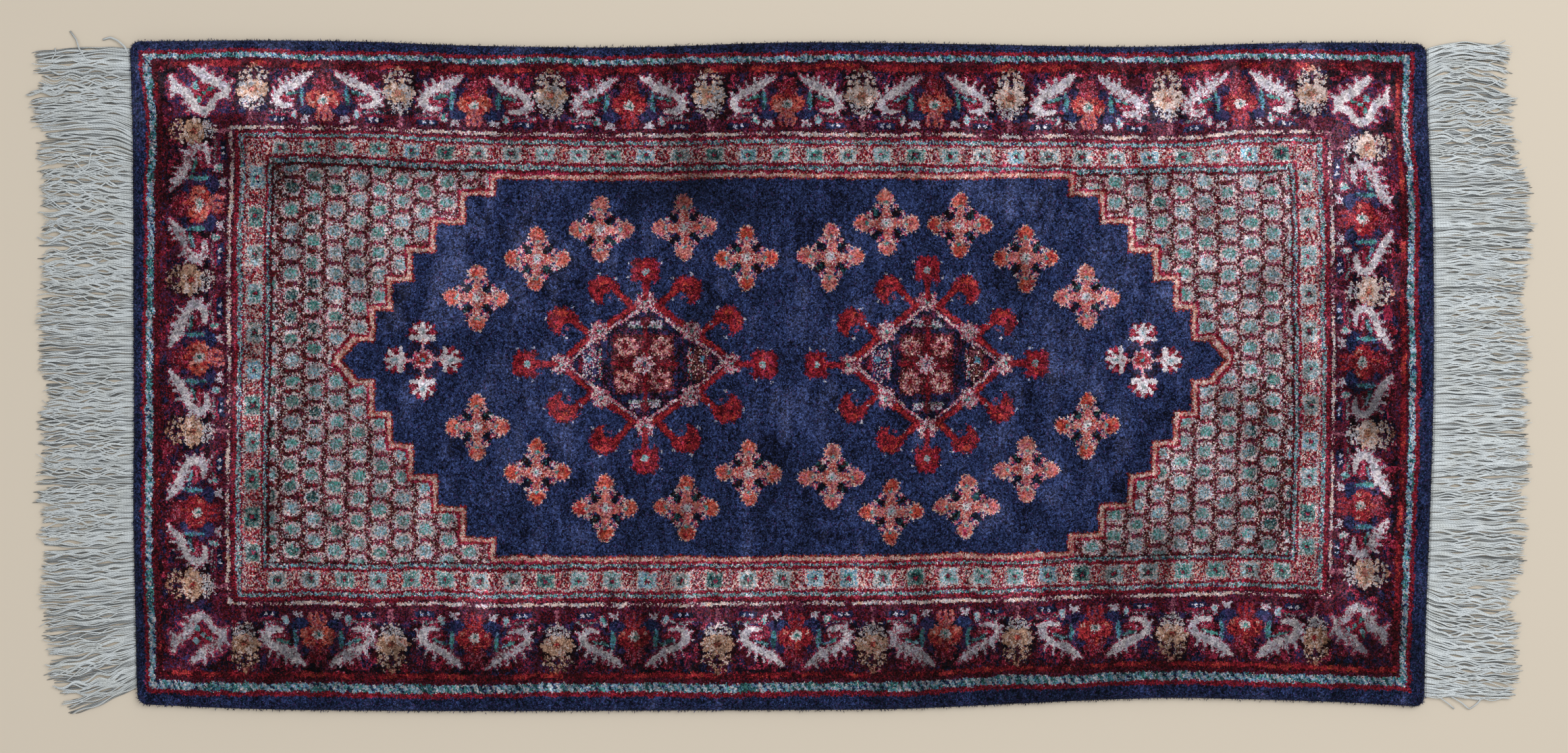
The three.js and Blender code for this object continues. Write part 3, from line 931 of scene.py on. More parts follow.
# The hook leaf beside a red flower: u from the flower's middle, v inward from the ground's
# outer edge, half width.
LEAF_BACK = [
    (12.0, 1.6, 1.6), (19.6, 7.0, 3.6), (27.0, 11.8, 4.4), (35.0, 15.0, 3.9), (43.0, 18.2, 3.8),
    (48.6, 23.4, 4.0), (49.6, 29.2, 4.0), (46.0, 34.0, 3.6), (40.6, 35.4, 3.1), (33.8, 34.6, 2.1),
]
LEAF_TEETH = [
    # each from its root on the leaf's back to its tip
    [(17.6, 5.4, 1.6), (20.8, 0.8, 0.9)], [(23.4, 8.6, 1.6), (25.2, 3.6, 0.9)],
    [(29.4, 10.8, 1.7), (30.8, 3.6, 0.9)], [(36.8, 13.6, 1.6), (38.8, 6.2, 0.9)],
    [(43.6, 16.4, 1.6), (46.8, 9.2, 0.9)], [(49.2, 21.4, 1.5), (53.8, 16.8, 0.8)],
    [(51.6, 26.4, 1.4), (56.0, 24.6, 0.8)], [(51.2, 31.6, 1.4), (55.4, 33.4, 0.8)],
    [(46.8, 35.6, 1.4), (48.8, 40.0, 0.8)], [(23.2, 11.8, 1.6), (21.8, 16.2, 0.8)],
    [(31.8, 16.4, 1.5), (30.2, 20.2, 0.8)], [(39.4, 19.4, 1.5), (37.2, 22.8, 0.8)],
]
LEAF_FLOWER_IN = 28.7
TEAL_STROKE = [(21.6, 17.6, 1.5), (21.4, 25, 2.2), (21.8, 33, 1.6)]
TEAL_DROP = [(29.4, 41, 1.4), (30.0, 45.5, 2.7)]
CURL = [(26.4, 20.4, 1.2), (32.6, 22.2, 1.7), (38.6, 24.4, 1.3)]
CURL_HEART = [(31.0, 29.0, 1.6), (38.0, 27.2, 2.0), (42.6, 27.6, 1.4)]
FOOT = [(14.6, 51.4, 1.0), (18, 48, 1.2), (22.6, 51.6, 1.0)]
# How often a leaf has each of its teeth, how slim it may be, and how often it is plain white.
TOOTH_CHANCE = 0.88
LEAF_SLIMNESS = (-0.2, 0.8)
WHITE_LEAF_CHANCE = 0.6


def work_red_flower(patch, centre, warm):
    """The red flower with its tails, at the axis of a pair of hook leaves."""
    deep = patch.moved(0, centre)
    petal = "madder 4, bright madder 2.6, dark madder 2.6, coral 1.2, crimson 0.8"
    tail = "madder 3, bright madder 1.6, dark madder 2, dusty rose 1.4"
    if warm:
        petal = "coral 3, salmon 2, orange 1.6, bright madder 3, madder 2"
        tail = "coral 2, salmon 2, rose 1.6, bright madder 2, dusty rose 1"
    haze = "dark madder 4, maroon 3, crimson 2, madder 1.6, dusty rose 1.6, rose 0.6"
    for side in deep.halves():
        side.disc("navy 4, purple 3.4, ink 2, indigo 1.4", 16.4, 10.5, 7.8, 6.0, calm=True)
        side.disc("plum 3, purple 2, black maroon 2", 13.5, -9.5, 4.2, 8.6, calm=True)
        side.disc("navy 3, purple 2, ink 2", 12.5, -14.0, 3.4, 2.8, calm=True)
    deep.disc(haze, 0, -15, 9.4, 11.0, 7, 0.2)
    deep.stroke("madder 3, orange 0.8, coral 1, dark madder 2", [(1.5, -16, 1.4), (1.0, -9, 2.4)])
    deep.stroke(tail, [(0, 6, 5.4), (0, 22, 1.6)])
    for side in deep.halves():
        side.stroke(tail, [(4, 10, 2.4), (6.6, 16, 2.2), (5.4, 21.5, 1.6)])
        side.disc(petal, 8.2, -1, 8.0, 9.4, 9, 0.1, calm=True)
        side.disc("salmon 2, coral 2, cream 1", 11.0, 3.0, 2.0, 2.0)
        side.disc(RED_EDGE, 7.6, -4.6, 1.6, 1.6)
        side.disc("purple 2, plum 2, dark madder 1", 3.2, 17, 1.0, 3.6)
    deep.disc("ivory 3, silver 2, salmon 1, sage 1.4, cream 1.4", 0, 0, 5.0, 4.8, 8, 0.14)
    deep.disc("teal 3, deep teal 2, sage 1", 0.6, 0.4, 1.9, 1.9)


def work_hook_leaf(patch, slim, white):
    """One white hook leaf; the other is its mirror image."""
    patch.disc("maroon 3, dark madder 2.4, crimson 1.4, plum 1.6, black maroon 1", 38, 26.5, 12.0, 8.0)
    patch.disc("maroon 3, crimson 2, purple 1.6, ink 1.6, plum 1.4", 46, 6, 9.0, 7.0, calm=True)
    patch.disc("maroon 3, crimson 2.4, black maroon 2, madder 1", 31, 3, 7.0, 5.0, calm=True)
    patch.disc(DARK_GROUND, 54, 34, 6.0, 5.4, calm=True)
    patch.stroke(
        "purple 3, plum 2.6, dusty rose 1, navy 1",
        [(20.5, 12, 3.4), (20.5, 34, 3.4)],
        calm=True,
    )
    patch.stroke(
        "dusty rose 2.6, silver 1.4, teal 1, plum 2.4",
        [(33, 42.6, 1.1), (46, 41.4, 1.2), (56, 43, 1.1)],
    )
    patch.stroke(RED_SPOT, [(33, 45.4, 1.0), (58, 45.4, 1.0)])
    patch.box("navy 4, ink 4, purple 1", 36.5, 55, 46.6, 52.5, calm=True)
    for u in (42.6, 48.8):
        patch.disc("lilac 3, sky 2, ivory 2", u, 49.4, 1.6, 1.8)
    outline = "crimson 3, dusty rose 2, plum 2, maroon 1, rose 0.8"
    patch.stroke(outline, LEAF_BACK, 1.7 - slim)
    teeth = [tooth for tooth in LEAF_TEETH if patch.chart.dice.random() < TOOTH_CHANCE]
    for tooth in teeth:
        patch.stroke(outline, tooth, 1.0 - slim)
    patch.stroke(white, LEAF_BACK, -slim, calm=True)
    for tooth in teeth:
        patch.stroke("lilac 4, ivory 2.4, silver 2, dusty rose 1.2", tooth, 0.2 - slim * 0.5)
    patch.stroke("crimson 4, madder 2, rose 1.4, lilac 0.8", CURL_HEART)
    patch.stroke("teal 3, deep teal 2, pale turquoise 1.2, sky 0.8", CURL, calm=True)
    patch.stroke("turquoise 3, teal 3, sky 1, deep teal 1.8", TEAL_STROKE, calm=True)
    patch.stroke("lilac 1.2, rose 2, purple 1.4, crimson 1.8", TEAL_DROP, 1.2)
    patch.stroke("pale turquoise 3, teal 2, ivory 1.6", TEAL_DROP, calm=True)
    patch.disc("lilac 4, ivory 1.4, silver 1", 18.4, 48.0, 3.6, 2.6, 5, 0.4)
    patch.stroke("lilac 2, silver 2, rose 1", FOOT)


SPRIG_SPOTS = [
    # across, out from the blossom's middle, how big
    (4.4, 12.4, 2.7), (10.4, 11.4, 2.6), (7.6, 17.0, 2.4), (12.6, 15.6, 1.4), (3.0, 18.8, 2.0),
    (7.0, 22.0, 1.2),
]
PETAL_SPOTS = [(-9.0, -2.4), (8.8, -1.8), (-7.6, 4.8), (8.0, 4.6), (0.4, -7.0)]
FAR_TAN = "tan 4.4, silver 3, cream 1.8, camel 0.6"
PALE_TAN = "cream 5, tan 3, salmon 0.9, silver 1"
WARM_TAN = "tan 5, camel 2.4, cream 2.4, salmon 0.5"


def work_tan_flower(patch, centre, body):
    """The tan blossom with its speckled sprigs, half way between the red flowers."""
    middle = patch.moved(0, centre)
    middle.disc(DARK_GROUND, 0, -1, 18.5, 16.0, calm=True)
    middle.stroke("dusty rose 3, plum 2, rose 1.4", [(0, 18, 1.6), (0, 33, 2.4)])
    middle.stroke("dusty rose 2, brown 3, tan 2", [(0, -12, 1.2), (0.6, -21, 1.4)])
    middle.disc("salmon 2, camel 3, brown 2, tan 1", 0, -22.4, 3.4, 2.6, 5, 0.2)
    sprig_ground = middle.in_disc(0, -14, 12.0, 7.0) | middle.in_disc(0, 13, 10.5, 7.0)
    middle.work(sprig_ground, "black 1.4, umber 2, plum 2, maroon 2, navy 1")
    warm = body == WARM_TAN
    pale = "tan 3, cream 2, camel 1.6, umber 1.6" if warm else "cream 4, silver 3, tan 2"
    speckled = "silver 4, cream 3, lilac 1.4, umber 1.4"
    for side in middle.halves():
        for u, v, size in SPRIG_SPOTS:
            side.disc(pale, u, -v, size, size * 0.85)
            side.disc(speckled, u * 0.9, v * 0.92, size, size * 0.85)
    middle.stroke("silver 3, lilac 1, black 1, umber 1", [(0, 9, 1.4), (0, 20, 1.2)])
    middle.disc("cream 3, silver 2, dusty rose 1.4", 0.6, 20.6, 2.4, 2.0)
    middle.disc(body, 0, 0, 15.4, 9.8, 10, 0.08, calm=True)
    for u, v in PETAL_SPOTS:
        middle.disc("umber 1, camel 2, cream 1.4", u, v, 1.3, 1.1)
    middle.disc("camel 2.4, brown 1.6, tan 2, salmon 1", 0, 0, 4.8, 3.8, 6, 0.2)
    heart = "madder 2, brown 3, coral 1.6" if warm else "coral 1, salmon 2, camel 1.4"
    middle.disc(heart, 0, 0.2, 3.0, 2.5, calm=True)


def tan_body(side, place):
    """The blossoms' yarn: grey at the far left, pale at the far right, warm elsewhere."""
    if side == "right" or (side == "far" and place > 0):
        return PALE_TAN
    return FAR_TAN if side == "far" else WARM_TAN


class BorderSide(NamedTuple):
    """One side of the main border: its line, its direction and where its flowers stand."""

    name: str
    edge: float
    along: tuple
    inward: tuple
    red_in: float
    tan_in: float
    warm: tuple
    reds: list
    tans: list

    def patch(self, chart, place, reach):
        """Tufts around a place on the ground's outer edge."""
        x = self.along[0] * place - self.inward[0] * self.edge
        y = self.along[1] * place - self.inward[1] * self.edge
        return chart.around(x, y, reach, self.along, self.inward, bands=True)


# Each side: the line its flowers are set out from, how far in the red and the tan ones stand,
# which of the red ones are warm, and where both kinds stand along it.
BORDER_SIDES = [
    BorderSide(
        "far", 286.3, (1, 0), (0, -1), 28.7, 19.8, (0, 1, 3, 4, 5),
        [-430.0, -288.5, -144.0, 4.0, 142.5, 289.0, 432.0],
        [-503.0, -360.0, -217.5, -69.0, 75.0, 214.5, 364.0, 503.0],
    ),
    BorderSide(
        "near", 277.4, (1, 0), (0, 1), 30.5, 22.0, (0, 4),
        [-438.0, -291.5, -140.3, 12.0, 153.5, 295.0, 438.5],
        [-508.6, -369.4, -213.5, -62.2, 84.2, 222.0, 368.4, 505.0],
    ),
    BorderSide(
        "left", 585.0, (0, 1), (1, 0), 34.0, 27.5, (0, 1),
        [158.0, 17.0, -129.0],
        [224.0, 90.0, -51.0, -199.0],
    ),
    BorderSide(
        "right", 577.4, (0, 1), (-1, 0), 32.0, 25.5, (),
        [146.5, 12.5, -124.5],
        [212.0, 78.0, -55.5, -190.5],
    ),
]
TAN_FLOWER_REACH = 70
RED_FLOWER_REACH = 74


def work_ground(chart):
    """The border's red ground, its bright flame line and the breaks in its cream line."""
    whole = chart.whole()
    shape = chart.x.shape
    blotches = smooth_noise(chart.dice, shape, 16)
    ground = between(chart, "ground", "shade line")
    whole.work(ground & (blotches > 0.6), "plum 3, maroon 3, purple 1.4, dark madder 1")
    whole.work(ground & (blotches < -0.6), "black maroon 4, ink 2.4, black 2, maroon 1")
    # Towards the middle of the rug the ground turns from red to blue.
    outer, inner = np.array(band_edges("ground")), np.array(band_edges("shade line"))
    bluer = ground & inside_edges(chart, outer + (inner - outer) * 0.55) & (blotches > -0.9)
    bluer |= ground & inside_edges(chart, outer + (inner - outer) * 0.35) & (blotches > 0.5)
    whole.work(bluer, "navy 3, purple 3, plum 2, ink 1.6, maroon 2, black maroon 1", calm=True)
    specks = smooth_noise(chart.dice, shape, 6)
    whole.work(ground & (specks > 0.9), "crimson 3, maroon 2, dark madder 2, rose 0.5")
    whole.work(ground & (specks < -1.0), "ink 3, navy 2, purple 2, black maroon 1")
    flame = inside_edges(chart, FLAME_OUTER) & ~inside_edges(chart, FLAME_INNER)
    glow = smooth_noise(chart.dice, shape, 13) - np.where(chart.band_x < -575, 1.2, 0.0)
    glow += np.where(chart.band_y < -270, 0.3, 0.0) - np.where(chart.band_y > 270, 0.15, 0.0)
    whole.work(flame & (glow > -0.2), "bright madder 1.2, madder 4, dark madder 3, orange 0.4", calm=True)
    whole.work(flame & (glow > 0.8), "orange 2, bright madder 4, madder 3", calm=True)
    breaks = smooth_noise(chart.dice, shape, 12)
    cream = between(chart, "cream line", "shade line", 1)
    whole.work(cream & (breaks > 0.45), "maroon 2, dusty rose 2, plum 2, cream 1, umber 1")
    whole.work(cream & (breaks < -0.5), "cream 5, silver 2, ivory 1, tan 1", calm=True)


def work_border(chart):
    """The main border: its ground, then the flowers and leaves of each side and the stars."""
    work_ground(chart)
    dice = chart.dice
    for side in BORDER_SIDES:
        for place in side.tans:
            patch = side.patch(chart, place, TAN_FLOWER_REACH)
            work_tan_flower(patch, side.tan_in, tan_body(side.name, place))
        for number, place in enumerate(side.reds):
            patch = side.patch(chart, place, RED_FLOWER_REACH)
            for half in patch.moved(0, side.red_in - LEAF_FLOWER_IN).halves():
                white = LEAF_WHITE if dice.random() < WHITE_LEAF_CHANCE else LEAF_BLUSH
                work_hook_leaf(half, dice.uniform(*LEAF_SLIMNESS), white)
            work_red_flower(patch, side.red_in, number in side.warm)
    for x, y in STAR_PLACES:
        work_corner_star(chart, x, y)


STAR_ARMS = [
    # across, up, half width; across grows towards the short edge, up towards the long one
    [
        (20.3, 14.6, 1.3), (18.2, 4.6, 3.4), (8.5, 0.6, 3.6), (4.6, -7.5, 3.3), (0.4, -15.5, 3.3),
        (-6.9, -19.6, 3.5), (-13.0, -16.0, 3.2), (-15.6, -8.6, 2.2),
    ],
    [
        (-15.6, -8.6, 2.2), (-20.5, -5.0, 2.6), (-27.0, -3.6, 2.8), (-26.8, 3.4, 3.3), (-19.5, 8.4, 3.4),
        (-11.1, 12.3, 3.6), (-5.9, 18.0, 3.3), (2.6, 24.0, 1.6),
    ],
]
STAR_TEETH = [
    [(18.0, 3.0, 2.0), (22.8, -3.2, 0.8)], [(13.4, 2.0, 1.8), (12.6, 9.4, 0.7)],
    [(5.0, -8.0, 1.8), (11.6, -11.4, 0.8)], [(1.4, -14.0, 1.8), (8.2, -18.6, 0.8)],
    [(-27.0, 4.0, 1.8), (-33.0, 9.4, 0.8)], [(-20.0, 8.0, 1.8), (-24.6, 15.6, 0.8)],
    [(-13.6, 11.0, 1.8), (-16.4, 17.6, 0.8)], [(-7.6, 17.0, 1.8), (-9.4, 24.0, 0.8)],
    [(-27.0, -3.0, 1.8), (-31.6, -8.2, 0.8)],
]
STAR_HEARTS = [(-8.4, 0.4, 9.4, 6.6), (-1.6, 4.6, 6.0, 6.4), (-3.4, -6.4, 5.0, 7.0)]
STAR_SPOTS = [(-0.6, 6.1, 2.9, 4.2), (-13.2, 3.0, 3.6, 2.0), (-7.6, -0.4, 2.4, 2.4), (-2.8, -6.6, 2.3, 3.6)]
STAR_REACH = 48
STAR_PLACES = [(-554.6, 265.0), (553.4, 257.5), (-557.4, -249.0), (553.6, -243.0)]


def work_corner_star(chart, x, y):
    """The white serrated star leaf that fills a corner of the border."""
    patch = chart.around(x, y, STAR_REACH, (np.sign(x), 0), (0, np.sign(y)), bands=True)
    patch.disc("plum 3, purple 2.4, crimson 1, maroon 2, navy 1", -4, 0, 32, 26, calm=True)
    outline = "rose 1.4, crimson 3.4, dusty rose 1.6, plum 1"
    white = LEAF_WHITE if y > 0 else LEAF_BLUSH
    for line in STAR_ARMS + STAR_TEETH:
        patch.stroke(outline, line, 2.4)
    for heart in STAR_HEARTS:
        patch.disc("crimson 3, madder 2, maroon 1.6", *heart)
    for line in STAR_TEETH:
        patch.stroke("lilac 4, ivory 2, silver 2, dusty rose 1.4", line, 0.3)
    for line in STAR_ARMS:
        patch.stroke(white, line, 0.8, calm=True)
    for spot in STAR_SPOTS:
        patch.disc("teal 3, pale turquoise 2.4, deep teal 1", *spot, calm=True)


def knot_design():
    """The whole chart, worked from its bands to its flowers."""
    chart = Chart(DESIGN_SEED)
    work_bands(chart)
    work_blocks(chart)
    work_spandrels(chart)
    work_field(chart)
    work_border(chart)
    work_flowers_of_field(chart)
    return chart


# ------------------------------ The nap's painted sheen and shade
# Painted sheen and shade: patches where the silk leans towards the light or away from it, drawn into
# the colour: the middle, half the width and half the height in millimetres, and how much lighter or darker.
NAP_LIGHT_PATCHES = [
    # lighter
    (-430, 262, 110, 20, 0.32), (-350, 230, 45, 22, 0.36), (-150, 235, 28, 32, 0.3),
    (-520, 130, 32, 26, 0.34), (-510, -20, 32, 26, 0.36), (-575, 20, 22, 20, 0.3),
    (-25, -35, 32, 36, 0.5), (-105, 125, 26, 26, 0.36), (-220, -40, 42, 52, 0.28),
    (240, -110, 72, 42, 0.36), (210, -30, 26, 50, 0.3), (272, 30, 26, 60, 0.34), (0, 178, 60, 24, 0.24),
    (222, 240, 26, 50, 0.3), (250, 150, 42, 32, 0.28), (425, 276, 18, 16, 0.4), (480, 190, 60, 50, 0.3),
    (-570, -275, 42, 16, 0.36), (-300, -218, 80, 16, 0.26), (-210, -248, 42, 32, 0.36),
    (-15, -215, 22, 52, 0.26), (-60, -276, 60, 16, 0.24), (310, -245, 42, 22, 0.34),
    (415, -225, 42, 32, 0.28), (140, -205, 60, 20, 0.2), (520, -90, 32, 30, 0.22),
    (5, 62, 30, 30, 0.22), (-372, -8, 22, 24, 0.24), (-222, -32, 20, 30, 0.16),
    (-505, 255, 90, 30, 0.12), (-355, 232, 50, 26, 0.14), (-175, 215, 24, 60, 0.14),
    (-590, 190, 18, 60, 0.16), (575, 30, 18, 50, 0.4), (590, -70, 14, 60, 0.2), (480, 280, 80, 16, 0.2),
    (-20, -275, 30, 16, 0.22), (-565, -275, 30, 14, 0.2), (560, -205, 40, 12, 0.2),
    (-285, -210, 40, 14, 0.16), (-280, 230, 24, 18, 0.2), (-20, -210, 10, 60, 0.18),
    (-100, -265, 16, 14, 0.25), (48, -265, 16, 14, 0.25), (318, -255, 16, 14, 0.25),
    (510, -215, 16, 24, 0.2), (300, 0, 16, 14, 0.18), (-210, -80, 24, 18, 0.12),
    (225, 180, 20, 40, 0.14), (-490, -170, 18, 12, 0.15), (-420, 250, 24, 24, 0.15),
    (500, 265, 14, 24, 0.15), (300, -85, 30, 16, 0.15), (-20, -55, 20, 40, 0.14),
    (265, 60, 14, 24, 0.15), (-200, -90, 20, 20, 0.12), (-115, 125, 16, 14, 0.12),
    (60, -110, 30, 30, 0.1), (125, -185, 12, 26, 0.14), (-490, -20, 20, 30, 0.14),
    (592, -30, 8, 110, 0.2), (-592, 60, 8, 140, 0.15),
    # darker
    (556, 262, 20, 16, -0.25), (560, -245, 24, 22, -0.25), (-410, 5, 14, 30, -0.18),
    (320, -165, 22, 14, -0.18), (110, -240, 20, 12, -0.2), (470, -250, 20, 20, -0.14),
    (-90, -150, 40, 16, -0.1), (-560, 100, 20, 30, -0.25), (-500, 25, 34, 14, -0.22),
    (-300, 30, 30, 12, -0.16), (-330, -30, 30, 14, -0.16), (-550, -90, 22, 26, -0.22),
    (-480, -90, 18, 20, -0.18), (-120, 168, 18, 12, -0.2), (165, 150, 24, 16, -0.25),
    (222, 85, 20, 18, -0.25), (95, 90, 24, 14, -0.2), (-75, -55, 14, 22, -0.25),
    (545, 60, 16, 26, -0.25), (545, -20, 18, 30, -0.25), (28, -90, 14, 20, -0.16),
    (565, -272, 20, 14, -0.25), (108, -130, 18, 16, -0.16), (-80, 90, 18, 12, -0.18),
    (-125, 170, 20, 10, -0.25), (-60, 160, 36, 12, -0.2), (-75, 0, 18, 90, -0.18),
    (-455, 115, 26, 20, -0.24), (-400, 200, 18, 12, -0.2), (-410, -5, 30, 24, -0.22),
    (-570, -175, 26, 12, -0.22), (-500, -130, 26, 20, -0.2), (-260, -133, 46, 12, -0.22),
    (-150, -92, 26, 14, -0.2), (25, -180, 26, 16, -0.22), (145, -236, 36, 14, -0.22),
    (555, -20, 18, 40, -0.3), (245, 30, 18, 30, -0.2), (265, 215, 26, 14, -0.14),
    (140, 250, 16, 30, -0.16), (-460, -232, 30, 14, -0.16), (560, -250, 30, 16, -0.2),
    (-570, 200, 22, 16, -0.3), (-565, 113, 26, 16, -0.34), (-440, 190, 62, 20, -0.34),
    (-430, 15, 62, 26, -0.2), (-330, -50, 52, 30, -0.34), (-280, 30, 60, 16, -0.28),
    (-200, 75, 20, 22, -0.45), (-70, 25, 30, 38, -0.5), (-62, -135, 20, 26, -0.3),
    (-112, 170, 30, 13, -0.4), (-490, -120, 36, 26, -0.4), (-565, -170, 26, 14, -0.3),
    (-450, -245, 26, 26, -0.42), (-130, -235, 16, 42, -0.42), (25, -90, 26, 22, -0.36),
    (105, -130, 32, 20, -0.42), (90, 95, 32, 13, -0.34), (225, 90, 26, 16, -0.42),
    (130, 255, 26, 26, -0.36), (5, 245, 42, 20, -0.26), (-245, 245, 26, 32, -0.3),
    (-110, 245, 20, 32, -0.26), (380, -130, 60, 30, -0.34), (460, -35, 72, 22, -0.34),
    (560, -15, 30, 36, -0.3), (325, -166, 32, 16, -0.3), (135, -247, 52, 16, -0.42),
    (490, -240, 42, 20, -0.3), (575, -240, 20, 30, -0.34),
    # the broad lie of the nap's painted sheen and shade
    (-430, -268, 90, 26, -0.5), (-290, -275, 90, 24, -0.6), (-150, -268, 90, 30, -0.65),
    (0, -280, 90, 22, -0.45), (110, -262, 80, 32, -0.55), (250, -278, 110, 26, -0.35),
    (390, -270, 80, 24, -0.4), (540, -255, 50, 34, -0.75), (540, -20, 26, 44, -0.8),
    (420, 235, 250, 60, 0.3), (520, 120, 80, 170, 0.35), (560, -60, 70, 160, 0.1),
    (350, 60, 60, 150, 0.3), (-540, 290, 110, 40, 0.35), (-480, 205, 120, 40, -0.35),
    (-300, 150, 90, 60, 0.45), (-330, -40, 90, 120, 0.25), (0, 285, 280, 40, -0.3),
    (-70, 200, 110, 28, -0.5), (-60, 165, 90, 30, -0.5), (60, 60, 160, 60, 0.1),
    (0, -60, 220, 60, -0.05), (-50, -205, 40, 40, 0.35), (-520, -262, 160, 60, -0.3),
    (230, -275, 160, 40, -0.45), (350, -170, 60, 60, -0.35), (585, 0, 24, 300, -0.35),
    (-560, 170, 60, 120, -0.15),
]
PLAIN_NAP_LIGHT = 0.74
# Painted unevenness of the nap's sheen and shade: patch height and width in faces, and how strong.
NAP_LIGHT_NOISE = [((26, 22), 0.1), ((12, 6), 0.15), ((5, 3), 0.14)]


def nap_light_at(x, y):
    """Painted sheen and shade: how much of the light the nap throws back at each place."""
    lean = np.zeros(x.shape)
    for middle_x, middle_y, half_x, half_y, lift in NAP_LIGHT_PATCHES:
        spread = ((x - middle_x) / half_x) ** 2 + ((y - middle_y) / half_y) ** 2
        lean = lean + lift * np.exp(-spread)
    return PLAIN_NAP_LIGHT * np.exp(lean)


def nap_light_unevenness(dice):
    """Chance patches and streaks of the nap's painted sheen and shade, on the grid of the pile's vertices.
    """
    shape = (FACES_ACROSS + 1, FACES_ALONG + 1)
    lean = np.zeros(shape)
    for cell, strength in NAP_LIGHT_NOISE:
        lean = lean + smooth_noise(dice, shape, cell) * strength
    return np.exp(lean)


# ------------------------------ The pile
def deselect_all():
    """Leaves object mode current and nothing selected."""
    if bpy.context.object and bpy.context.object.mode != "OBJECT":
        bpy.ops.object.mode_set(mode="OBJECT")
    bpy.ops.object.select_all(action="DESELECT")


def read_all(items, key, width=1, kind=float):
    """One property of every item, as an array."""
    values = np.zeros(len(items) * width, kind)
    items.foreach_get(key, values)
    return values.reshape(-1, width) if width > 1 else values


def corner_vertices(mesh):
    """Which vertex stands at each corner of each face."""
    return read_all(mesh.loops, "vertex_index", kind=int)


def write_attribute(mesh, name, domain, values):
    """Gives every face three numbers, or every point one."""
    kind, key = {"FACE": ("FLOAT_VECTOR", "vector"), "POINT": ("FLOAT", "value")}[domain]
    attribute = mesh.attributes.new(name, kind, domain)
    attribute.data.foreach_set(key, np.asarray(values, np.float32).ravel())


def write_map(mesh, name, across, up):
    """Gives the mesh a UV map."""
    layer = mesh.uv_layers.new(name=name, do_init=False)
    layer.uv.foreach_set("vector", np.stack([across, up], -1).astype(np.float32).ravel())


def finish_mesh(mesh, *materials):
    """Gives the mesh its materials and smooth faces."""
    for material in materials:
        mesh.materials.append(material)
    mesh.polygons.foreach_set("use_smooth", np.ones(len(mesh.polygons), bool))
    mesh.update()


def round_corner(x, y, half_x, half_y, radius):
    """Draws the square corner of an outline in to a quarter circle."""
    over_x = np.clip((np.abs(x) - (half_x - radius)) / radius, 0, 1)
    over_y = np.clip((np.abs(y) - (half_y - radius)) / radius, 0, 1)
    both = (over_x > 0) & (over_y > 0)
    new_x = half_x - radius + radius * over_x * np.sqrt(1 - over_y**2 / 2)
    new_y = half_y - radius + radius * over_y * np.sqrt(1 - over_x**2 / 2)
    return np.where(both, np.sign(x) * new_x, x), np.where(both, np.sign(y) * new_y, y)


def with_ordered_faces(mesh):
    """The same mesh with its faces in the order of their corners, which extruding leaves to chance."""
    faces = []
    for face in mesh.polygons:
        corners = list(face.vertices)
        first = corners.index(min(corners))
        faces.append(corners[first:] + corners[:first])
    ordered = bpy.data.meshes.new(mesh.name)
    ordered.from_pydata([vertex.co[:] for vertex in mesh.vertices], [], sorted(faces))
    return ordered


def grid_with_rim():
    """A unit grid whose edge is carried down a unit at a time, once for each rim section."""
    deselect_all()
    bpy.ops.mesh.primitive_grid_add(x_subdivisions=FACES_ALONG, y_subdivisions=FACES_ACROSS, size=1.0)
    bpy.ops.object.mode_set(mode="EDIT")
    bpy.ops.mesh.select_mode(type="EDGE")
    bpy.ops.mesh.select_all(action="DESELECT")
    bpy.ops.mesh.select_non_manifold()
    for _ in RIM[1:]:
        bpy.ops.mesh.extrude_region_move(TRANSFORM_OT_translate={"value": (0, 0, -1)})
    bpy.ops.mesh.edge_face_add()
    bpy.ops.mesh.select_all(action="SELECT")
    bpy.ops.mesh.normals_make_consistent(inside=False)
    bpy.ops.object.mode_set(mode="OBJECT")
    grid = bpy.context.active_object
    extruded = grid.data
    grid.data = with_ordered_faces(extruded)
    bpy.data.meshes.remove(extruded)
    return grid


def shape_pile(mesh, dice):
    """Moves the unit grid's vertices to the laid rug, and returns where they came from."""
    unit = read_all(mesh.vertices, "co", 3)
    along = unit[:, 0] + 0.5
    across = unit[:, 1] + 0.5
    level = np.round(-unit[:, 2]).astype(int)
    drawn_in, height = np.array(RIM)[level].T
    half_x = RUG_LENGTH / 2 - drawn_in
    half_y = RUG_WIDTH / 2 - drawn_in
    x = (2 * along - 1) * half_x
    y = (2 * across - 1) * half_y
    from_edge = np.minimum(half_x - np.abs(x), half_y - np.abs(y))
    column = np.round(along * FACES_ALONG).astype(int)
    row = np.round(across * FACES_ACROSS).astype(int)
    shape = (FACES_ACROSS + 1, FACES_ALONG + 1)
    swell = sum(smooth_noise(dice, shape, cell) * rise for cell, rise in SWELLS)
    swell = swell + dice.normal(size=shape) * VERTEX_SWELL
    top = (level == 0) & (from_edge > 0.5)
    fall = EDGE_FALL * np.clip(1 - from_edge / EDGE_FALL_REACH, 0, 1) ** 2
    height = np.where(top, RUG_HEIGHT - SWELL_ROOM - fall + swell[row, column], height)
    sway = dice.normal(size=(2, *shape)) * VERTEX_SWAY
    x = x + np.where(top, sway[0][row, column], 0)
    y = y + np.where(top, sway[1][row, column], 0)
    x, y = round_corner(x, y, half_x, half_y, np.maximum(CORNER_RADIUS - drawn_in, 1))
    x, y = laid(x, y)
    mesh.vertices.foreach_set("co", (np.stack([x, y, height], 1) * MM).ravel())
    mesh.update()
    return along, across, level


def packed(yarn):
    """Nine yarn numbers, in rows of three, as one number for each row."""
    return yarn @ (float(YARN_BASE) ** np.arange(TUFTS_PER_FACE))


def chart_faces(chart):
    """The chart's tufts as one vector for each of the grid's faces."""
    tufts = chart.yarn.reshape(FACES_ACROSS, TUFTS_PER_FACE, FACES_ALONG, TUFTS_PER_FACE)
    return packed(tufts.transpose(0, 2, 1, 3).astype(float))


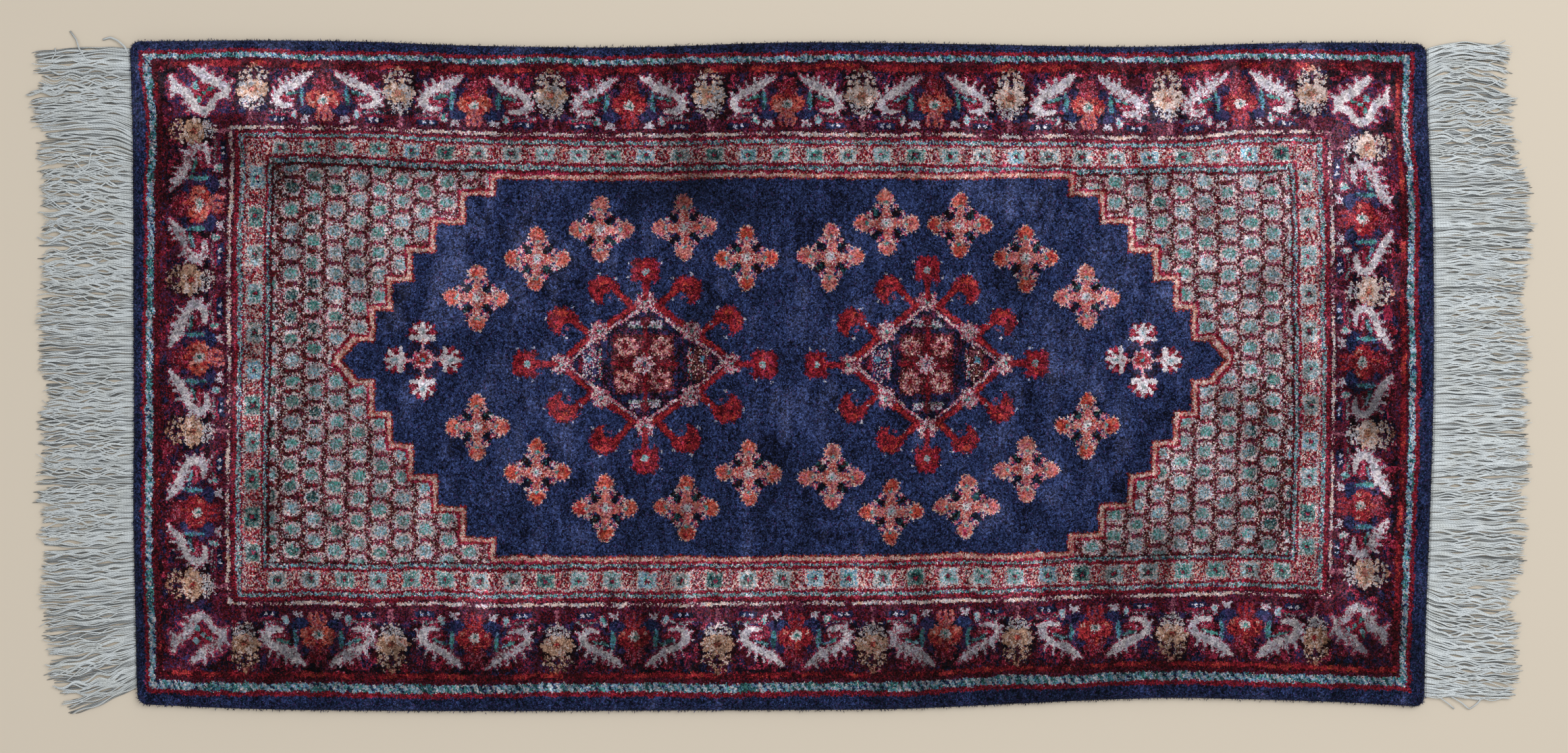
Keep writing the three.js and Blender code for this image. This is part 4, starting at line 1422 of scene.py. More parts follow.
def yarn_numbers(mix, count, dice):
    """Yarn numbers drawn from a mix."""
    numbers, shares = read_mix(mix)
    return dice.choice(numbers, size=count, p=shares / shares.sum())


# The flat map for baking: the middle and size of the top's part, how much each section of the
# rim adds to it, and the strip that the underside fills: its corner and size.
TOP_MAP = (0.5, 0.47, 0.95, 0.88)
RIM_MAP_GROWTH = 0.0044
UNDER_MAP = (0.02, 0.945, 0.96, 0.05)


def map_pile(mesh, chart, along, across, level, dice):
    """Gives the pile its chart, its tuft cells and its flat map for baking."""
    corners = corner_vertices(mesh)
    sides = read_all(mesh.polygons, "loop_total", kind=int)
    starts = read_all(mesh.polygons, "loop_start", kind=int)
    is_quad = sides == 4
    quad_corners = starts[is_quad][:, None] + np.arange(4)
    vertex = corners[quad_corners]
    place_u = along[vertex] * FACES_ALONG
    place_v = across[vertex] * FACES_ACROSS
    depth = level[vertex]
    first_u = place_u.min(1, keepdims=True)
    first_v = place_v.min(1, keepdims=True)
    on_rim = depth.max(1) > 0
    cell_u = place_u - first_u
    cell_v = place_v - first_v
    # On the rim a cell's sides run along the edge and down it.
    rim_v = depth - depth.min(1, keepdims=True)
    cell_u, cell_v = (
        np.where(on_rim[:, None], cell_u + cell_v, cell_u) * TUFTS_PER_FACE,
        np.where(on_rim[:, None], rim_v, cell_v) * TUFTS_PER_FACE,
    )
    cells = np.zeros((2, len(corners)))
    cells[:, quad_corners] = cell_u, cell_v
    write_map(mesh, "tuft_cell", *cells)

    row = np.clip(np.round(first_v[:, 0]).astype(int), 0, FACES_ACROSS - 1)
    column = np.clip(np.round(first_u[:, 0]).astype(int), 0, FACES_ALONG - 1)
    quad_vectors = chart_faces(chart)[row, column]
    tufts = yarn_numbers(BAND_MIXES["selvedge"], on_rim.sum() * TUFTS_PER_FACE**2, dice)
    tufts = tufts.reshape(-1, TUFTS_PER_FACE, TUFTS_PER_FACE)
    quad_vectors[on_rim] = packed(tufts.astype(float))
    vectors = np.zeros((len(sides), 3))
    vectors[is_quad] = quad_vectors
    write_attribute(mesh, "yarn_chart", "FACE", vectors)

    grow = RIM_MAP_GROWTH * level[corners]
    under = np.repeat(~is_quad, sides)
    middle_u, middle_v, size_u, size_v = TOP_MAP
    corner_u, corner_v, under_u, under_v = UNDER_MAP
    map_u = middle_u + (along[corners] - 0.5) * (size_u + grow)
    map_v = middle_v + (across[corners] - 0.5) * (size_v + grow)
    map_u = np.where(under, corner_u + under_u * along[corners], map_u)
    map_v = np.where(under, corner_v + under_v * across[corners], map_v)
    write_map(mesh, "OFBake", map_u, map_v)
    mesh.polygons.foreach_set("material_index", np.where(is_quad, 0, 1).astype(np.int32))


def make_pile():
    """The pile: its laid and rounded cloth, its chart and its nap's painted sheen and shade."""
    dice = np.random.default_rng(PILE_SEED)
    pile = grid_with_rim()
    pile.name = "rug_pile"
    mesh = pile.data
    mesh.name = "rug_pile"
    along, across, level = shape_pile(mesh, dice)
    x, y, _ = (read_all(mesh.vertices, "co", 3) / MM).T
    # The nap's painted sheen and shade, by which the shader multiplies the colour.
    uneven = nap_light_unevenness(dice)
    row = np.round(across * FACES_ACROSS).astype(int)
    column = np.round(along * FACES_ALONG).astype(int)
    write_attribute(mesh, "nap_light", "POINT", nap_light_at(x, y) * uneven[row, column])
    map_pile(mesh, knot_design(), along, across, level, dice)
    finish_mesh(mesh, silk_pile_material(), woven_back_material())
    return pile


# ------------------------------ Loose tufts at the edge
TUFT_LENGTHS = (1.0, 2.6)
TUFT_RADII = (0.35, 0.6)
# How far tufts stray from their faces' middles and from standing straight out.
TUFT_STRAY = [0.8, 0.8, 0.3]
TUFT_LEAN = 0.42
TUFT_SINK = 0.5
LOWEST_TUFT = 0.2
# The rim lies outside this rectangle: half its length and half its width.
RIM_INSIDE = (595, 290)
RIM_LOWEST = 1.5
TUFT_MAP_ROOM = 40


def spikes(bases, directions, widths, dice):
    """Closed three-sided tufts: vertices and faces."""
    count = len(bases)
    helper = np.where(np.abs(directions[:, 2:]) < 0.8, [[0.0, 0.0, 1.0]], [[1.0, 0.0, 0.0]])
    side = np.cross(directions, helper)
    side /= np.linalg.norm(side, axis=1, keepdims=True)
    other = np.cross(directions / np.linalg.norm(directions, axis=1, keepdims=True), side)
    turn = dice.random(count) * math.tau
    corners = []
    for third in range(3):
        angle = (turn + third * math.tau / 3)[:, None]
        corners.append(bases + widths[:, None] * (np.cos(angle) * side + np.sin(angle) * other))
    tip = bases + directions
    vertices = np.stack([*corners, tip], 1).reshape(-1, 3)
    first = np.arange(count)[:, None] * 4
    pattern = np.array([[0, 1, 3], [1, 2, 3], [2, 0, 3], [2, 1, 0]])
    faces = (first[:, None] + pattern[None]).reshape(-1, 3)
    return vertices, faces


def mesh_piece(name, vertices, faces):
    """A new object of these vertices and faces."""
    mesh = bpy.data.meshes.new(name)
    mesh.from_pydata(vertices.tolist(), [], faces)
    piece = bpy.data.objects.new(name, mesh)
    bpy.context.scene.collection.objects.link(piece)
    return piece


def make_edge_tufts(pile, count):
    """Short silk ends standing out of the rim all round."""
    dice = np.random.default_rng(TUFT_SEED)
    faces = pile.data.polygons
    centres = read_all(faces, "center", 3) / MM
    normals = read_all(faces, "normal", 3)
    half_length, half_width = RIM_INSIDE
    on_rim = (np.abs(normals[:, 2]) < 0.95) & (centres[:, 2] > RIM_LOWEST)
    on_rim &= (np.abs(centres[:, 0]) > half_length) | (np.abs(centres[:, 1]) > half_width)
    chosen = dice.choice(np.flatnonzero(on_rim), size=count)
    bases = centres[chosen] + dice.normal(size=(count, 3)) * TUFT_STRAY
    bases -= normals[chosen] * TUFT_SINK
    lean = normals[chosen] + dice.normal(size=(count, 3)) * TUFT_LEAN
    lean /= np.linalg.norm(lean, axis=1, keepdims=True)
    lengths = dice.uniform(*TUFT_LENGTHS, count)
    radii = dice.uniform(*TUFT_RADII, count)
    vertices, faces = spikes(bases, lean * lengths[:, None], radii, dice)
    vertices[:, 2] = np.maximum(vertices[:, 2], LOWEST_TUFT)
    tufts = mesh_piece("edge_tufts", vertices * MM, faces.tolist())
    mesh = tufts.data
    numbers = yarn_numbers(BAND_MIXES["selvedge"], count, dice).astype(float)
    write_attribute(mesh, "yarn_chart", "FACE", np.repeat(numbers, 4)[:, None] * np.ones(3))
    # The tufts carry the same painted sheen and shade of the nap.
    write_attribute(mesh, "nap_light", "POINT", nap_light_at(vertices[:, 0], vertices[:, 1]))
    x, y, z = vertices[corner_vertices(mesh)].T
    write_map(mesh, "tuft_cell", np.full(len(x), 0.5), np.full(len(x), 0.5))
    spread = RUG_LENGTH + TUFT_MAP_ROOM
    write_map(mesh, "OFBake", x / spread + 0.5, (y + z) / spread + 0.5)
    mesh.materials.append(pile.data.materials[0])
    return tufts


# ------------------------------ The fringes
# How far out the fringe's middle lies, and how much its flat map for baking takes in.
FRINGE_MIDDLE = 655.0
FRINGE_MAP_SIZE = 670
STRAND_SIDES = 4
STRAND_STEPS = 24
STRAND_RADII = (0.5, 0.68)
LOCK_WIDTHS = (3, 12)
# Fewest strands that wave together, and one more than the most.
BUNDLE_SIZES = (2, 6)
SWINGS = (0.8, 2.3)
# How far out the waves of each kind reach for every radian.
SHORT_WAVES = (3.4, 6.4)
LONG_WAVES = (8, 13)
RIPPLES = (0.1, 0.4)
RIPPLE_WAVES = (3, 6)
RISE_WAVES = (7, 12)
# The shares of strands that are longer, cut short, under the others or across them.
LONG_STRANDS = 0.07
SHORT_STRANDS = 0.14
UNDER_STRANDS = 0.4
CROSSING_STRANDS = 0.1
# Painted shade: the left fringe is drawn a little greyer than the right one.
LEFT_PAINTED_SHADE = -1.35
# Strands that have strayed from the rest: points of x, y, z and how thick.
STRAYS = {
    -1: [
        ([(-616, 302, 2), (-619, 309, 3), (-626, 315, 2.4), (-633, 318, 1.6), (-640, 316, 1)], 1.0),
        ([(-655, 296, 3), (-662, 307, 3), (-665, 316, 1.6), (-671, 324, 1)], 0.75),
        ([(-640, 214, 3), (-651, 209, 3.4), (-653, 195, 3.4), (-668, 186, 3)], 0.7),
        ([(-690, 294, 2.5), (-684, 303, 2.6), (-685, 308, 1.6)], 0.6),
    ],
    1: [
        ([(628, -302, 2.6), (637, -307, 2.6), (645, -314, 1.4), (652, -309, 1.8), (657, -303, 2.4)], 0.7),
        ([(611, -299, 2.6), (619, -304, 2.6), (626, -309, 2), (631, -313.6, 1.2)], 0.6),
        ([(655, 309, 2.6), (668, 310, 2.4), (679, 315, 1.6)], 0.6),
    ],
}


def pile_end(outward, y):
    """How far out from the rug's middle its end lies, at places across it."""
    y = np.asarray(y, float)
    x, _ = laid(np.full(y.shape, outward * RUG_LENGTH / 2), y)
    return np.abs(x) + SEAM_GAP


def tubes(paths, radii, sides):
    """Round strands along paths of (strand, step, 3), with radii of (strand, step)."""
    count, steps = radii.shape
    forward = np.gradient(paths, axis=1)
    forward /= np.linalg.norm(forward, axis=2, keepdims=True)
    side = np.cross(forward, [0.0, 0.0, 1.0])
    side /= np.linalg.norm(side, axis=2, keepdims=True)
    over = np.cross(side, forward)
    angles = np.arange(sides) * math.tau / sides
    around = (
        side[:, :, None] * np.cos(angles)[None, None, :, None]
        + over[:, :, None] * np.sin(angles)[None, None, :, None]
    )
    vertices = paths[:, :, None] + around * radii[:, :, None, None]
    index = np.arange(count * steps * sides).reshape(count, steps, sides)
    following = np.roll(index, -1, axis=2)
    low, high = index[:, :-1], index[:, 1:]
    low_next, high_next = following[:, :-1], following[:, 1:]
    faces = np.stack([low, high, high_next, low_next], -1).reshape(-1, 4).tolist()
    faces += index[:, 0].tolist()
    faces += index[:, -1, ::-1].tolist()
    return vertices.reshape(-1, 3), faces


def lock_centres(first, last, dice):
    """Uneven places along the end where the strands hang together."""
    centres = [first]
    while centres[-1] < last:
        centres.append(centres[-1] + dice.uniform(*LOCK_WIDTHS))
    return np.array(centres)


def strand_paths(outward, count, dice):
    """Where the loose warp ends lie: paths and radii in millimetres."""
    locks = LOCKS[outward]
    first, last = locks["root"][0], locks["root"][-1]
    roots = np.linspace(first - 1.5, last + 3, count) + dice.normal(size=count) * 0.35
    share = np.linspace(0, 1, STRAND_STEPS)[None, :]
    centres = lock_centres(first - 6, last + 6, dice)
    lock = np.abs(roots[:, None] - centres[None]).argmin(1)
    offset = roots - centres[lock]

    reach = read_table(locks, "root", roots, "reach") + 1.5
    reach = reach + dice.normal(size=len(centres))[lock] * 2.0 - np.abs(offset) * 0.3
    own = dice.normal(size=count) * 2.0
    own = np.where(dice.random(count) < LONG_STRANDS, dice.uniform(1.5, 6, count), own)
    own = np.where(dice.random(count) < SHORT_STRANDS, -dice.uniform(3, 22, count), own)
    reach = reach + own

    kick = read_table(locks, "root", roots, "kick")[:, None]
    bow = read_table(locks, "root", roots, "bow")[:, None]
    sweep = read_table(locks, "root", roots, "sweep")[:, None]
    drift = 4 * bow * share * (1 - share) + sweep * share * (2 * share - 1)
    drift = drift + kick * np.sin(np.minimum(share * 3.4, 1) * math.pi / 2)
    gather = dice.uniform(0.0, 0.3, len(centres))[lock][:, None]
    drift = drift - offset[:, None] * gather * share**5
    drift = drift + dice.normal(size=len(centres))[lock][:, None] * 1.0 * share**2

    # Strands wave together in small bundles; some places are more tangled than others.
    bundle = np.searchsorted(np.cumsum(dice.integers(*BUNDLE_SIZES, count)), np.arange(count), side="right")
    tangle = read_table(locks, "root", roots, "tangle")[:, None]
    under = (dice.random(count) < UNDER_STRANDS)[:, None]
    phases = dice.random((4, count, 1)) * math.tau
    out = share * reach[:, None]
    swing = dice.uniform(*SWINGS, (count, 1))[bundle]
    wave = swing * np.sin(out / dice.uniform(*SHORT_WAVES, (count, 1))[bundle] + phases[0][bundle])
    long_wave = np.sin(out / dice.uniform(*LONG_WAVES, (count, 1))[bundle] + phases[1][bundle])
    wave = wave + 0.7 * swing * long_wave
    wave = wave + dice.normal(size=(count, 1))[bundle] * 1.6 * share**1.5
    wave = wave * np.where(under, 0.25, 1.0) * tangle
    ripple = dice.uniform(*RIPPLES, (count, 1))
    wave = wave + ripple * np.sin(out / dice.uniform(*RIPPLE_WAVES, (count, 1)) + phases[2])
    crossing = (dice.random(count) < CROSSING_STRANDS)[:, None]
    wave = wave + np.where(crossing, dice.normal(size=(count, 1)) * 8 * share**1.6, 0)
    y = roots[:, None] + drift + wave * np.minimum(share * 4, 1)
    x = outward * (pile_end(outward, roots)[:, None] + 0.3 + out)

    layer = np.where(under, 0.0, dice.uniform(0.45, 1, (count, 1))[bundle])
    layer = np.where(crossing, 1.15, layer)
    rise = 0.75 + layer * 2.2 + dice.uniform(0, 0.35, (count, 1))
    rise = rise + 0.3 * np.sin(out / dice.uniform(*RISE_WAVES, (count, 1)) + phases[3])
    start = 1.2 + layer * 1.2
    z = start + (rise - start) * np.minimum(share * 5, 1)
    z = z * (1 - 0.12 * share)
    radius = dice.uniform(*STRAND_RADII, (count, 1)) * (1 - 0.25 * share**3)
    radius = radius * np.where(share > 0.98, 0.5, 1.0)
    z = np.maximum(z, radius + 0.1)
    return with_strays(outward, np.stack([x, y, z], -1), radius)


def with_strays(outward, paths, radii):
    """Adds the few strands that have strayed from the rest."""
    for points, thickness in STRAYS[outward]:
        points = np.array(points, float)
        place = np.linspace(0, len(points) - 1, STRAND_STEPS)
        path = np.stack([np.interp(place, np.arange(len(points)), points[:, k]) for k in range(3)], 1)
        path[1:-1] = (path[:-2] + 2 * path[1:-1] + path[2:]) / 4
        paths = np.concatenate([paths, path[None]])
        radii = np.concatenate([radii, np.full((1, STRAND_STEPS), thickness)])
    return paths, radii


def make_fringe(node, outward, count, material):
    """The loose warp ends at one end of the rug."""
    dice = np.random.default_rng(FRINGE_SEED + outward)
    paths, radii = strand_paths(outward, count, dice)
    vertices, faces = tubes(paths, radii, STRAND_SIDES)
    fringe = mesh_piece(node.replace("fringe", "warp_fringe"), vertices * MM, faces)
    mesh = fringe.data
    # Each strand's own tone, with the left fringe's painted shade added.
    tone = dice.normal(size=len(paths)) + (LEFT_PAINTED_SHADE if outward < 0 else 0.0)
    write_attribute(mesh, "strand_tone_and_shade", "POINT", np.repeat(tone, STRAND_STEPS * STRAND_SIDES))
    corners = corner_vertices(mesh)
    step, side = np.divmod(corners, STRAND_SIDES)
    write_map(mesh, "strand", side / STRAND_SIDES, step % STRAND_STEPS / (STRAND_STEPS - 1))
    x, y, z = vertices[corners].T
    map_u = (x + z * 0.3 - outward * FRINGE_MIDDLE) / FRINGE_MAP_SIZE + 0.5
    write_map(mesh, "OFBake", map_u, y / FRINGE_MAP_SIZE + 0.5)
    finish_mesh(mesh, material)
    return fringe


# ------------------------------ Materials
def linear(colour):
    """A dyer's colour, 0 to 255, as scene-linear red, green and blue."""
    shares = np.array(colour, float) / 255
    return tuple(np.where(shares <= 0.04045, shares / 12.92, ((shares + 0.055) / 1.055) ** 2.4))


class Nodes:
    """Adds nodes to a tree; an input is a plain value or another node's output."""

    def __init__(self, tree):
        self.tree = tree

    def add(self, kind, inputs=None, **settings):
        """A node with its settings and inputs."""
        made = self.tree.nodes.new(kind if kind.startswith("NodeGroup") else "ShaderNode" + kind)
        for name, value in settings.items():
            setattr(made, name, value)
        for name, value in (inputs or {}).items():
            if isinstance(value, bpy.types.NodeSocket):
                self.tree.links.new(value, made.inputs[name])
            else:
                made.inputs[name].default_value = value
        return made

    def math(self, operation, first, second=0.0, third=0.0):
        """A sum worked out over the surface."""
        return self.add("Math", {0: first, 1: second, 2: third}, operation=operation).outputs[0]

    def times(self, first, second):
        """One number times another."""
        return self.math("MULTIPLY", first, second)

    def vector(self, operation, first, inputs):
        """A sum of vectors."""
        return self.add("VectorMath", {0: first, **inputs}, operation=operation).outputs[0]

    def spread(self, value, low, high, to_low, to_high):
        """A number's range from low to high, spread over another range and held there."""
        inputs = {"Value": value, "From Min": low, "From Max": high, "To Min": to_low, "To Max": to_high}
        return self.add("MapRange", inputs).outputs["Result"]

    def mix(self, blend, share, first, second):
        """Two colours mixed."""
        inputs = {0: share, 6: first, 7: second}
        return self.add("Mix", inputs, data_type="RGBA", blend_type=blend).outputs[2]

    def grey(self, light):
        """A number as a grey."""
        return self.add("CombineColor", {0: light, 1: light, 2: light}).outputs[0]

    def noise(self, place, scale, detail, roughness=0.5):
        """The outputs of a soft noise."""
        inputs = {"Vector": place, "Scale": scale, "Detail": detail, "Roughness": roughness}
        return self.add("TexNoise", inputs).outputs

    def cells(self, place, scale, randomness=1.0):
        """The outputs of a pattern of cells."""
        inputs = {"Vector": place, "Scale": scale, "Randomness": randomness}
        return self.add("TexVoronoi", inputs).outputs

    def stretched(self, place, scale):
        """The surface's places stretched along each axis."""
        return self.add("Mapping", {"Vector": place, "Scale": scale}).outputs["Vector"]

    def attribute(self, name, output="Fac"):
        """What the mesh carries under a name."""
        return self.add("Attribute", attribute_name=name).outputs[output]

    def bump(self, height, distance, strength):
        """The normal of a bumpy surface."""
        inputs = {"Height": height, "Distance": distance, "Strength": strength}
        return self.add("Bump", inputs).outputs["Normal"]

    def group(self, tree, inputs):
        """The outputs of a node group."""
        return self.add("Group", inputs, node_tree=tree).outputs

    def shader(self, inputs):
        """The material's shader and its output."""
        shader = self.add("BsdfPrincipled", inputs)
        self.add("OutputMaterial", {"Surface": shader.outputs["BSDF"]})


def new_group(name, inputs, outputs):
    """A shader node group with named sockets: its nodes and its input sockets."""
    tree = bpy.data.node_groups.new(name, "ShaderNodeTree")
    kinds = {"number": "NodeSocketFloat", "vector": "NodeSocketVector", "colour": "NodeSocketColor"}
    for socket, kind, default in inputs:
        made = tree.interface.new_socket(name=socket, in_out="INPUT", socket_type=kinds[kind])
        if default is not None:
            made.default_value = default
    for socket, kind in outputs:
        tree.interface.new_socket(name=socket, in_out="OUTPUT", socket_type=kinds[kind])
    entry = tree.nodes.new("NodeGroupInput")
    return Nodes(tree), entry.outputs


def yarn_group():
    """Reads the chart: from a face's three packed numbers and the cell's place, the yarn."""
    nodes, given = new_group(
        "charted yarn",
        [("Chart", "vector", None), ("Cell", "vector", None)],
        [("Colour", "colour")],
    )
    cell = nodes.add("SeparateXYZ", {0: given["Cell"]}).outputs
    chart = nodes.add("SeparateXYZ", {0: given["Chart"]}).outputs
    last = TUFTS_PER_FACE - 1.0
    column, row = [
        nodes.math("MINIMUM", nodes.math("MAXIMUM", nodes.math("FLOOR", cell[axis]), 0.0), last)
        for axis in (0, 1)
    ]
    number = 0.0
    for place in range(TUFTS_PER_FACE):
        here = nodes.math("COMPARE", row, float(place), 0.1)
        number = nodes.math("MULTIPLY_ADD", here, chart[place], number)
    # The tuft's own digit in the row's number, whose base is the count of yarns.
    base = float(YARN_BASE)
    step = nodes.math("POWER", base, column)
    whole = nodes.math("FLOOR", nodes.math("DIVIDE", nodes.math("ADD", number, 0.5), step))
    above = nodes.math("FLOOR", nodes.math("DIVIDE", nodes.math("ADD", whole, 0.5), base))
    yarn = nodes.math("MULTIPLY_ADD", above, -base, whole)
    place = nodes.math("DIVIDE", nodes.math("ADD", yarn, 0.5), base)
    card = nodes.add("ValToRGB", {0: place})
    ramp = card.color_ramp
    ramp.interpolation = "CONSTANT"
    ramp.elements.remove(ramp.elements[1])
    for number, name in enumerate(YARN_ORDER):
        stop = ramp.elements[0] if number == 0 else ramp.elements.new(number / YARN_BASE)
        stop.position = number / YARN_BASE
        stop.color = (*getattr(bpy.context.scene.rug_yarns, yarn_key(name)), 1.0)
    nodes.add("NodeGroupOutput", {"Colour": card.outputs["Color"]})
    return nodes.tree


def tuft_grain_and_light_group():
    """The grain of cut silk ends: a height for the bumps, and painted light and shade: how light each tuft
    is drawn.
    """
    nodes, given = new_group(
        "tuft grain and light",
        [("Place", "vector", None), ("Tufts per metre", "number", 700.0)],
        [("Height", "number"), ("Lightness", "number")],
    )
    place, size = given["Place"], given["Tufts per metre"]
    cells = nodes.cells(place, size)
    random = nodes.add("SeparateColor", {0: cells["Color"]}).outputs
    fluff = nodes.noise(place, nodes.times(size, 1.7), 2.0)["Fac"]
    dome = nodes.math("SUBTRACT", 1.0, cells["Distance"])
    height = nodes.math("MULTIPLY_ADD", fluff, 0.6, dome)
    height = nodes.math("MULTIPLY_ADD", random[1], 0.7, height)
    # Painted light and shade on each tuft and clump, lighter where the fluff stands higher.
    tuft_light = nodes.spread(random[0], 0.0, 1.0, 0.28, 1.74)
    tuft_light = nodes.times(tuft_light, nodes.spread(fluff, 0.25, 0.75, 0.6, 1.38))
    clumps = nodes.cells(place, nodes.times(size, 0.52))
    clump = nodes.add("SeparateColor", {0: clumps["Color"]}).outputs[1]
    tuft_light = nodes.times(tuft_light, nodes.spread(clump, 0.0, 1.0, 0.66, 1.36))
    nodes.add("NodeGroupOutput", {"Height": height, "Lightness": tuft_light})
    return nodes.tree


def nap_light_group():
    """Painted sheen and shade from the nap's lean, multiplied into the colour: dark and deep, or pale and
    milky.
    """
    nodes, given = new_group(
        "nap shade",
        [
            ("Colour", "colour", None),
            ("Place", "vector", None),
            ("Nap light", "number", 1.0),
            ("Streaks", "number", 0.5),
        ],
        [("Colour", "colour"), ("Nap light", "number")],
    )
    place = given["Place"]
    # Painted streaks of lighter and darker nap, broad and fine.
    broad = nodes.noise(nodes.stretched(place, (34.0, 14.0, 20.0)), 1.0, 4.0, 0.62)["Fac"]
    fine = nodes.noise(nodes.stretched(place, (190.0, 70.0, 90.0)), 1.0, 3.0, 0.6)["Fac"]
    lean = nodes.spread(broad, 0.3, 0.7, -1.0, 1.0)
    lean = nodes.math("MULTIPLY_ADD", nodes.spread(fine, 0.3, 0.7, -1.0, 1.0), 0.45, lean)
    nap_light = nodes.math("MAXIMUM", nodes.math("MULTIPLY_ADD", lean, given["Streaks"], 1.0), 0.2)
    nap_light = nodes.times(nap_light, given["Nap light"])
    lit = nodes.mix("MULTIPLY", 1.0, given["Colour"], nodes.grey(nap_light))
    # Where the painted nap light is strong, a milky painted sheen veils the colour.
    painted_sheen_veil = nodes.spread(nap_light, 0.8, 1.7, 0.0, 0.14)
    pale = nodes.mix("MIX", painted_sheen_veil, lit, (0.24, 0.24, 0.31, 1.0))
    nodes.add("NodeGroupOutput", {"Colour": pale, "Nap light": nap_light})
    return nodes.tree


def new_material(name):
    """An empty material, its nodes and the places on its piece."""
    material = bpy.data.materials.new(name)
    material.use_nodes = True
    material.node_tree.nodes.clear()
    nodes = Nodes(material.node_tree)
    return material, nodes, nodes.add("TexCoord").outputs["Object"]


def silk_pile_material():
    """Cut silk: the chart's yarns, with the nap's painted sheen and shade, broken up by the tufts' grain
    and their painted light and shade.
    """
    material, nodes, place = new_material("knotted_silk")
    chart = nodes.attribute("yarn_chart", "Vector")
    cell = nodes.add("UVMap", uv_map="tuft_cell").outputs["UV"]
    # The edges between tufts waver a little.
    sway = nodes.noise(place, 620.0, 1.0)["Color"]
    shift = nodes.vector("SUBTRACT", sway, {1: (0.5, 0.5, 0.5)})
    shift = nodes.vector("SCALE", shift, {"Scale": 1.6})
    cell = nodes.vector("ADD", cell, {1: shift})
    yarn = nodes.group(yarn_group(), {"Chart": chart, "Cell": cell})["Colour"]
    # The nap's painted sheen and shade, carried by the pile's points.
    nap_light = nodes.attribute("nap_light")
    shade = nodes.group(nap_light_group(), {"Colour": yarn, "Place": place, "Nap light": nap_light, "Streaks": 0.34})
    grain = nodes.group(tuft_grain_and_light_group(), {"Place": place, "Tufts per metre": 760.0})
    # Pale silk shows the tufts' painted light and shade less than dark silk does.
    depth = nodes.add("RGBToBW", {0: yarn}).outputs[0]
    share = nodes.spread(depth, 0.04, 0.5, 1.0, 0.6)
    light = nodes.math("MULTIPLY_ADD", nodes.math("SUBTRACT", grain["Lightness"], 1.0), share, 1.0)
    colour = nodes.mix("MULTIPLY", 1.0, shade["Colour"], nodes.grey(light))
    nodes.shader({
        "Base Color": colour,
        "Roughness": nodes.spread(grain["Lightness"], 0.5, 1.5, 0.86, 0.62),
        "Normal": nodes.bump(grain["Height"], 0.0011, 0.75),
        "Sheen Weight": 0.05,
        "Sheen Roughness": 0.35,
        "Sheen Tint": (0.85, 0.82, 0.9, 1.0),
        "Specular IOR Level": 0.06,
    })
    return material


def woven_back_material():
    """The plain woven underside, in greyed blue and tan."""
    material, nodes, place = new_material("woven_back")
    knots = nodes.cells(place, 500.0, 0.35)["Distance"]
    tone = nodes.noise(place, 40.0, 3.0)["Fac"]
    colour = nodes.mix("MIX", tone, (*linear((58, 54, 80)), 1.0), (*linear((150, 132, 118)), 1.0))
    nodes.shader({
        "Base Color": colour,
        "Roughness": nodes.spread(tone, 0.3, 0.7, 0.8, 0.92),
        "Normal": nodes.bump(knots, 0.0006, 0.6),
    })
    return material


def warp_material():
    """Undyed twisted warp yarn, with painted shade in the grooves of its twist and down among the strands.
    """
    material, nodes, place = new_material("warp_yarn")
    strand = nodes.add("UVMap", uv_map="strand").outputs["UV"]
    parts = nodes.add("SeparateXYZ", {0: strand}).outputs
    turns = nodes.math("MULTIPLY_ADD", parts[1], 34.0, parts[0])
    ply = nodes.math("SINE", nodes.times(turns, math.tau))
    ply = nodes.spread(ply, -1.0, 1.0, 0.0, 1.0)
    tone = nodes.attribute("strand_tone_and_shade")
    fibre = nodes.noise(place, 1500.0, 2.0)["Fac"]
    patch = nodes.noise(place, 60.0, 2.0)["Fac"]
    # Each strand's own tone, and the painted shade of the left fringe.
    light = nodes.spread(tone, -3.0, 2.0, 0.78, 1.08)
    # Painted shade in the grooves between the plies.
    light = nodes.times(light, nodes.spread(ply, 0.0, 1.0, 0.84, 1.04))
    light = nodes.times(light, nodes.spread(fibre, 0.3, 0.7, 0.9, 1.06))
    # Painted shade: strands lying low among the others are drawn darker.
    height = nodes.add("SeparateXYZ", {0: place}).outputs[2]
    light = nodes.times(light, nodes.spread(height, 0.0009, 0.002, 0.2, 1.05))
    grey = nodes.grey(light)
    yarn = (*bpy.context.scene.rug_fringe.colour, 1.0)
    worn = (*linear((206, 210, 206)), 1.0)
    base = nodes.mix("MIX", nodes.spread(patch, 0.4, 0.7, 0.0, 0.5), yarn, worn)
    colour = nodes.mix("MULTIPLY", 1.0, base, grey)
    twist = nodes.math("MULTIPLY_ADD", fibre, 0.4, ply)
    nodes.shader({
        "Base Color": colour,
        "Normal": nodes.bump(twist, 0.0003, 0.7),
        "Roughness": nodes.spread(fibre, 0.3, 0.7, 0.7, 0.85),
        "Sheen Weight": 0.15,
        "Sheen Roughness": 0.5,
    })
    return material


def floor_material(colour):
    """The plain floor."""
    material, nodes, place = new_material("studio_floor")
    grain = nodes.noise(place, 8.0, 3.0)["Fac"]
    rough = nodes.spread(grain, 0.3, 0.7, 0.75, 0.85)
    nodes.shader({"Base Color": (*colour, 1.0), "Roughness": rough, "Specular IOR Level": 0.1})
    return material


# ------------------------------ What a user can change
def yarn_key(name):
    """The setting's key for a yarn."""
    return name.replace(" ", "_")


def colour_setting(name, description, colour):
    """A colour that the user may change."""
    return bpy.props.FloatVectorProperty(
        name=name,
        description=description,
        subtype="COLOR",
        min=0.0,
        max=1.0,
        default=linear(colour),
    )


class RugYarns(bpy.types.PropertyGroup):
    """The colours of the dyed silk."""

    __annotations__ = {
        yarn_key(name): colour_setting(name.capitalize(), f"Colour of the {name} silk", colour)
        for name, colour in YARNS.items()
    }


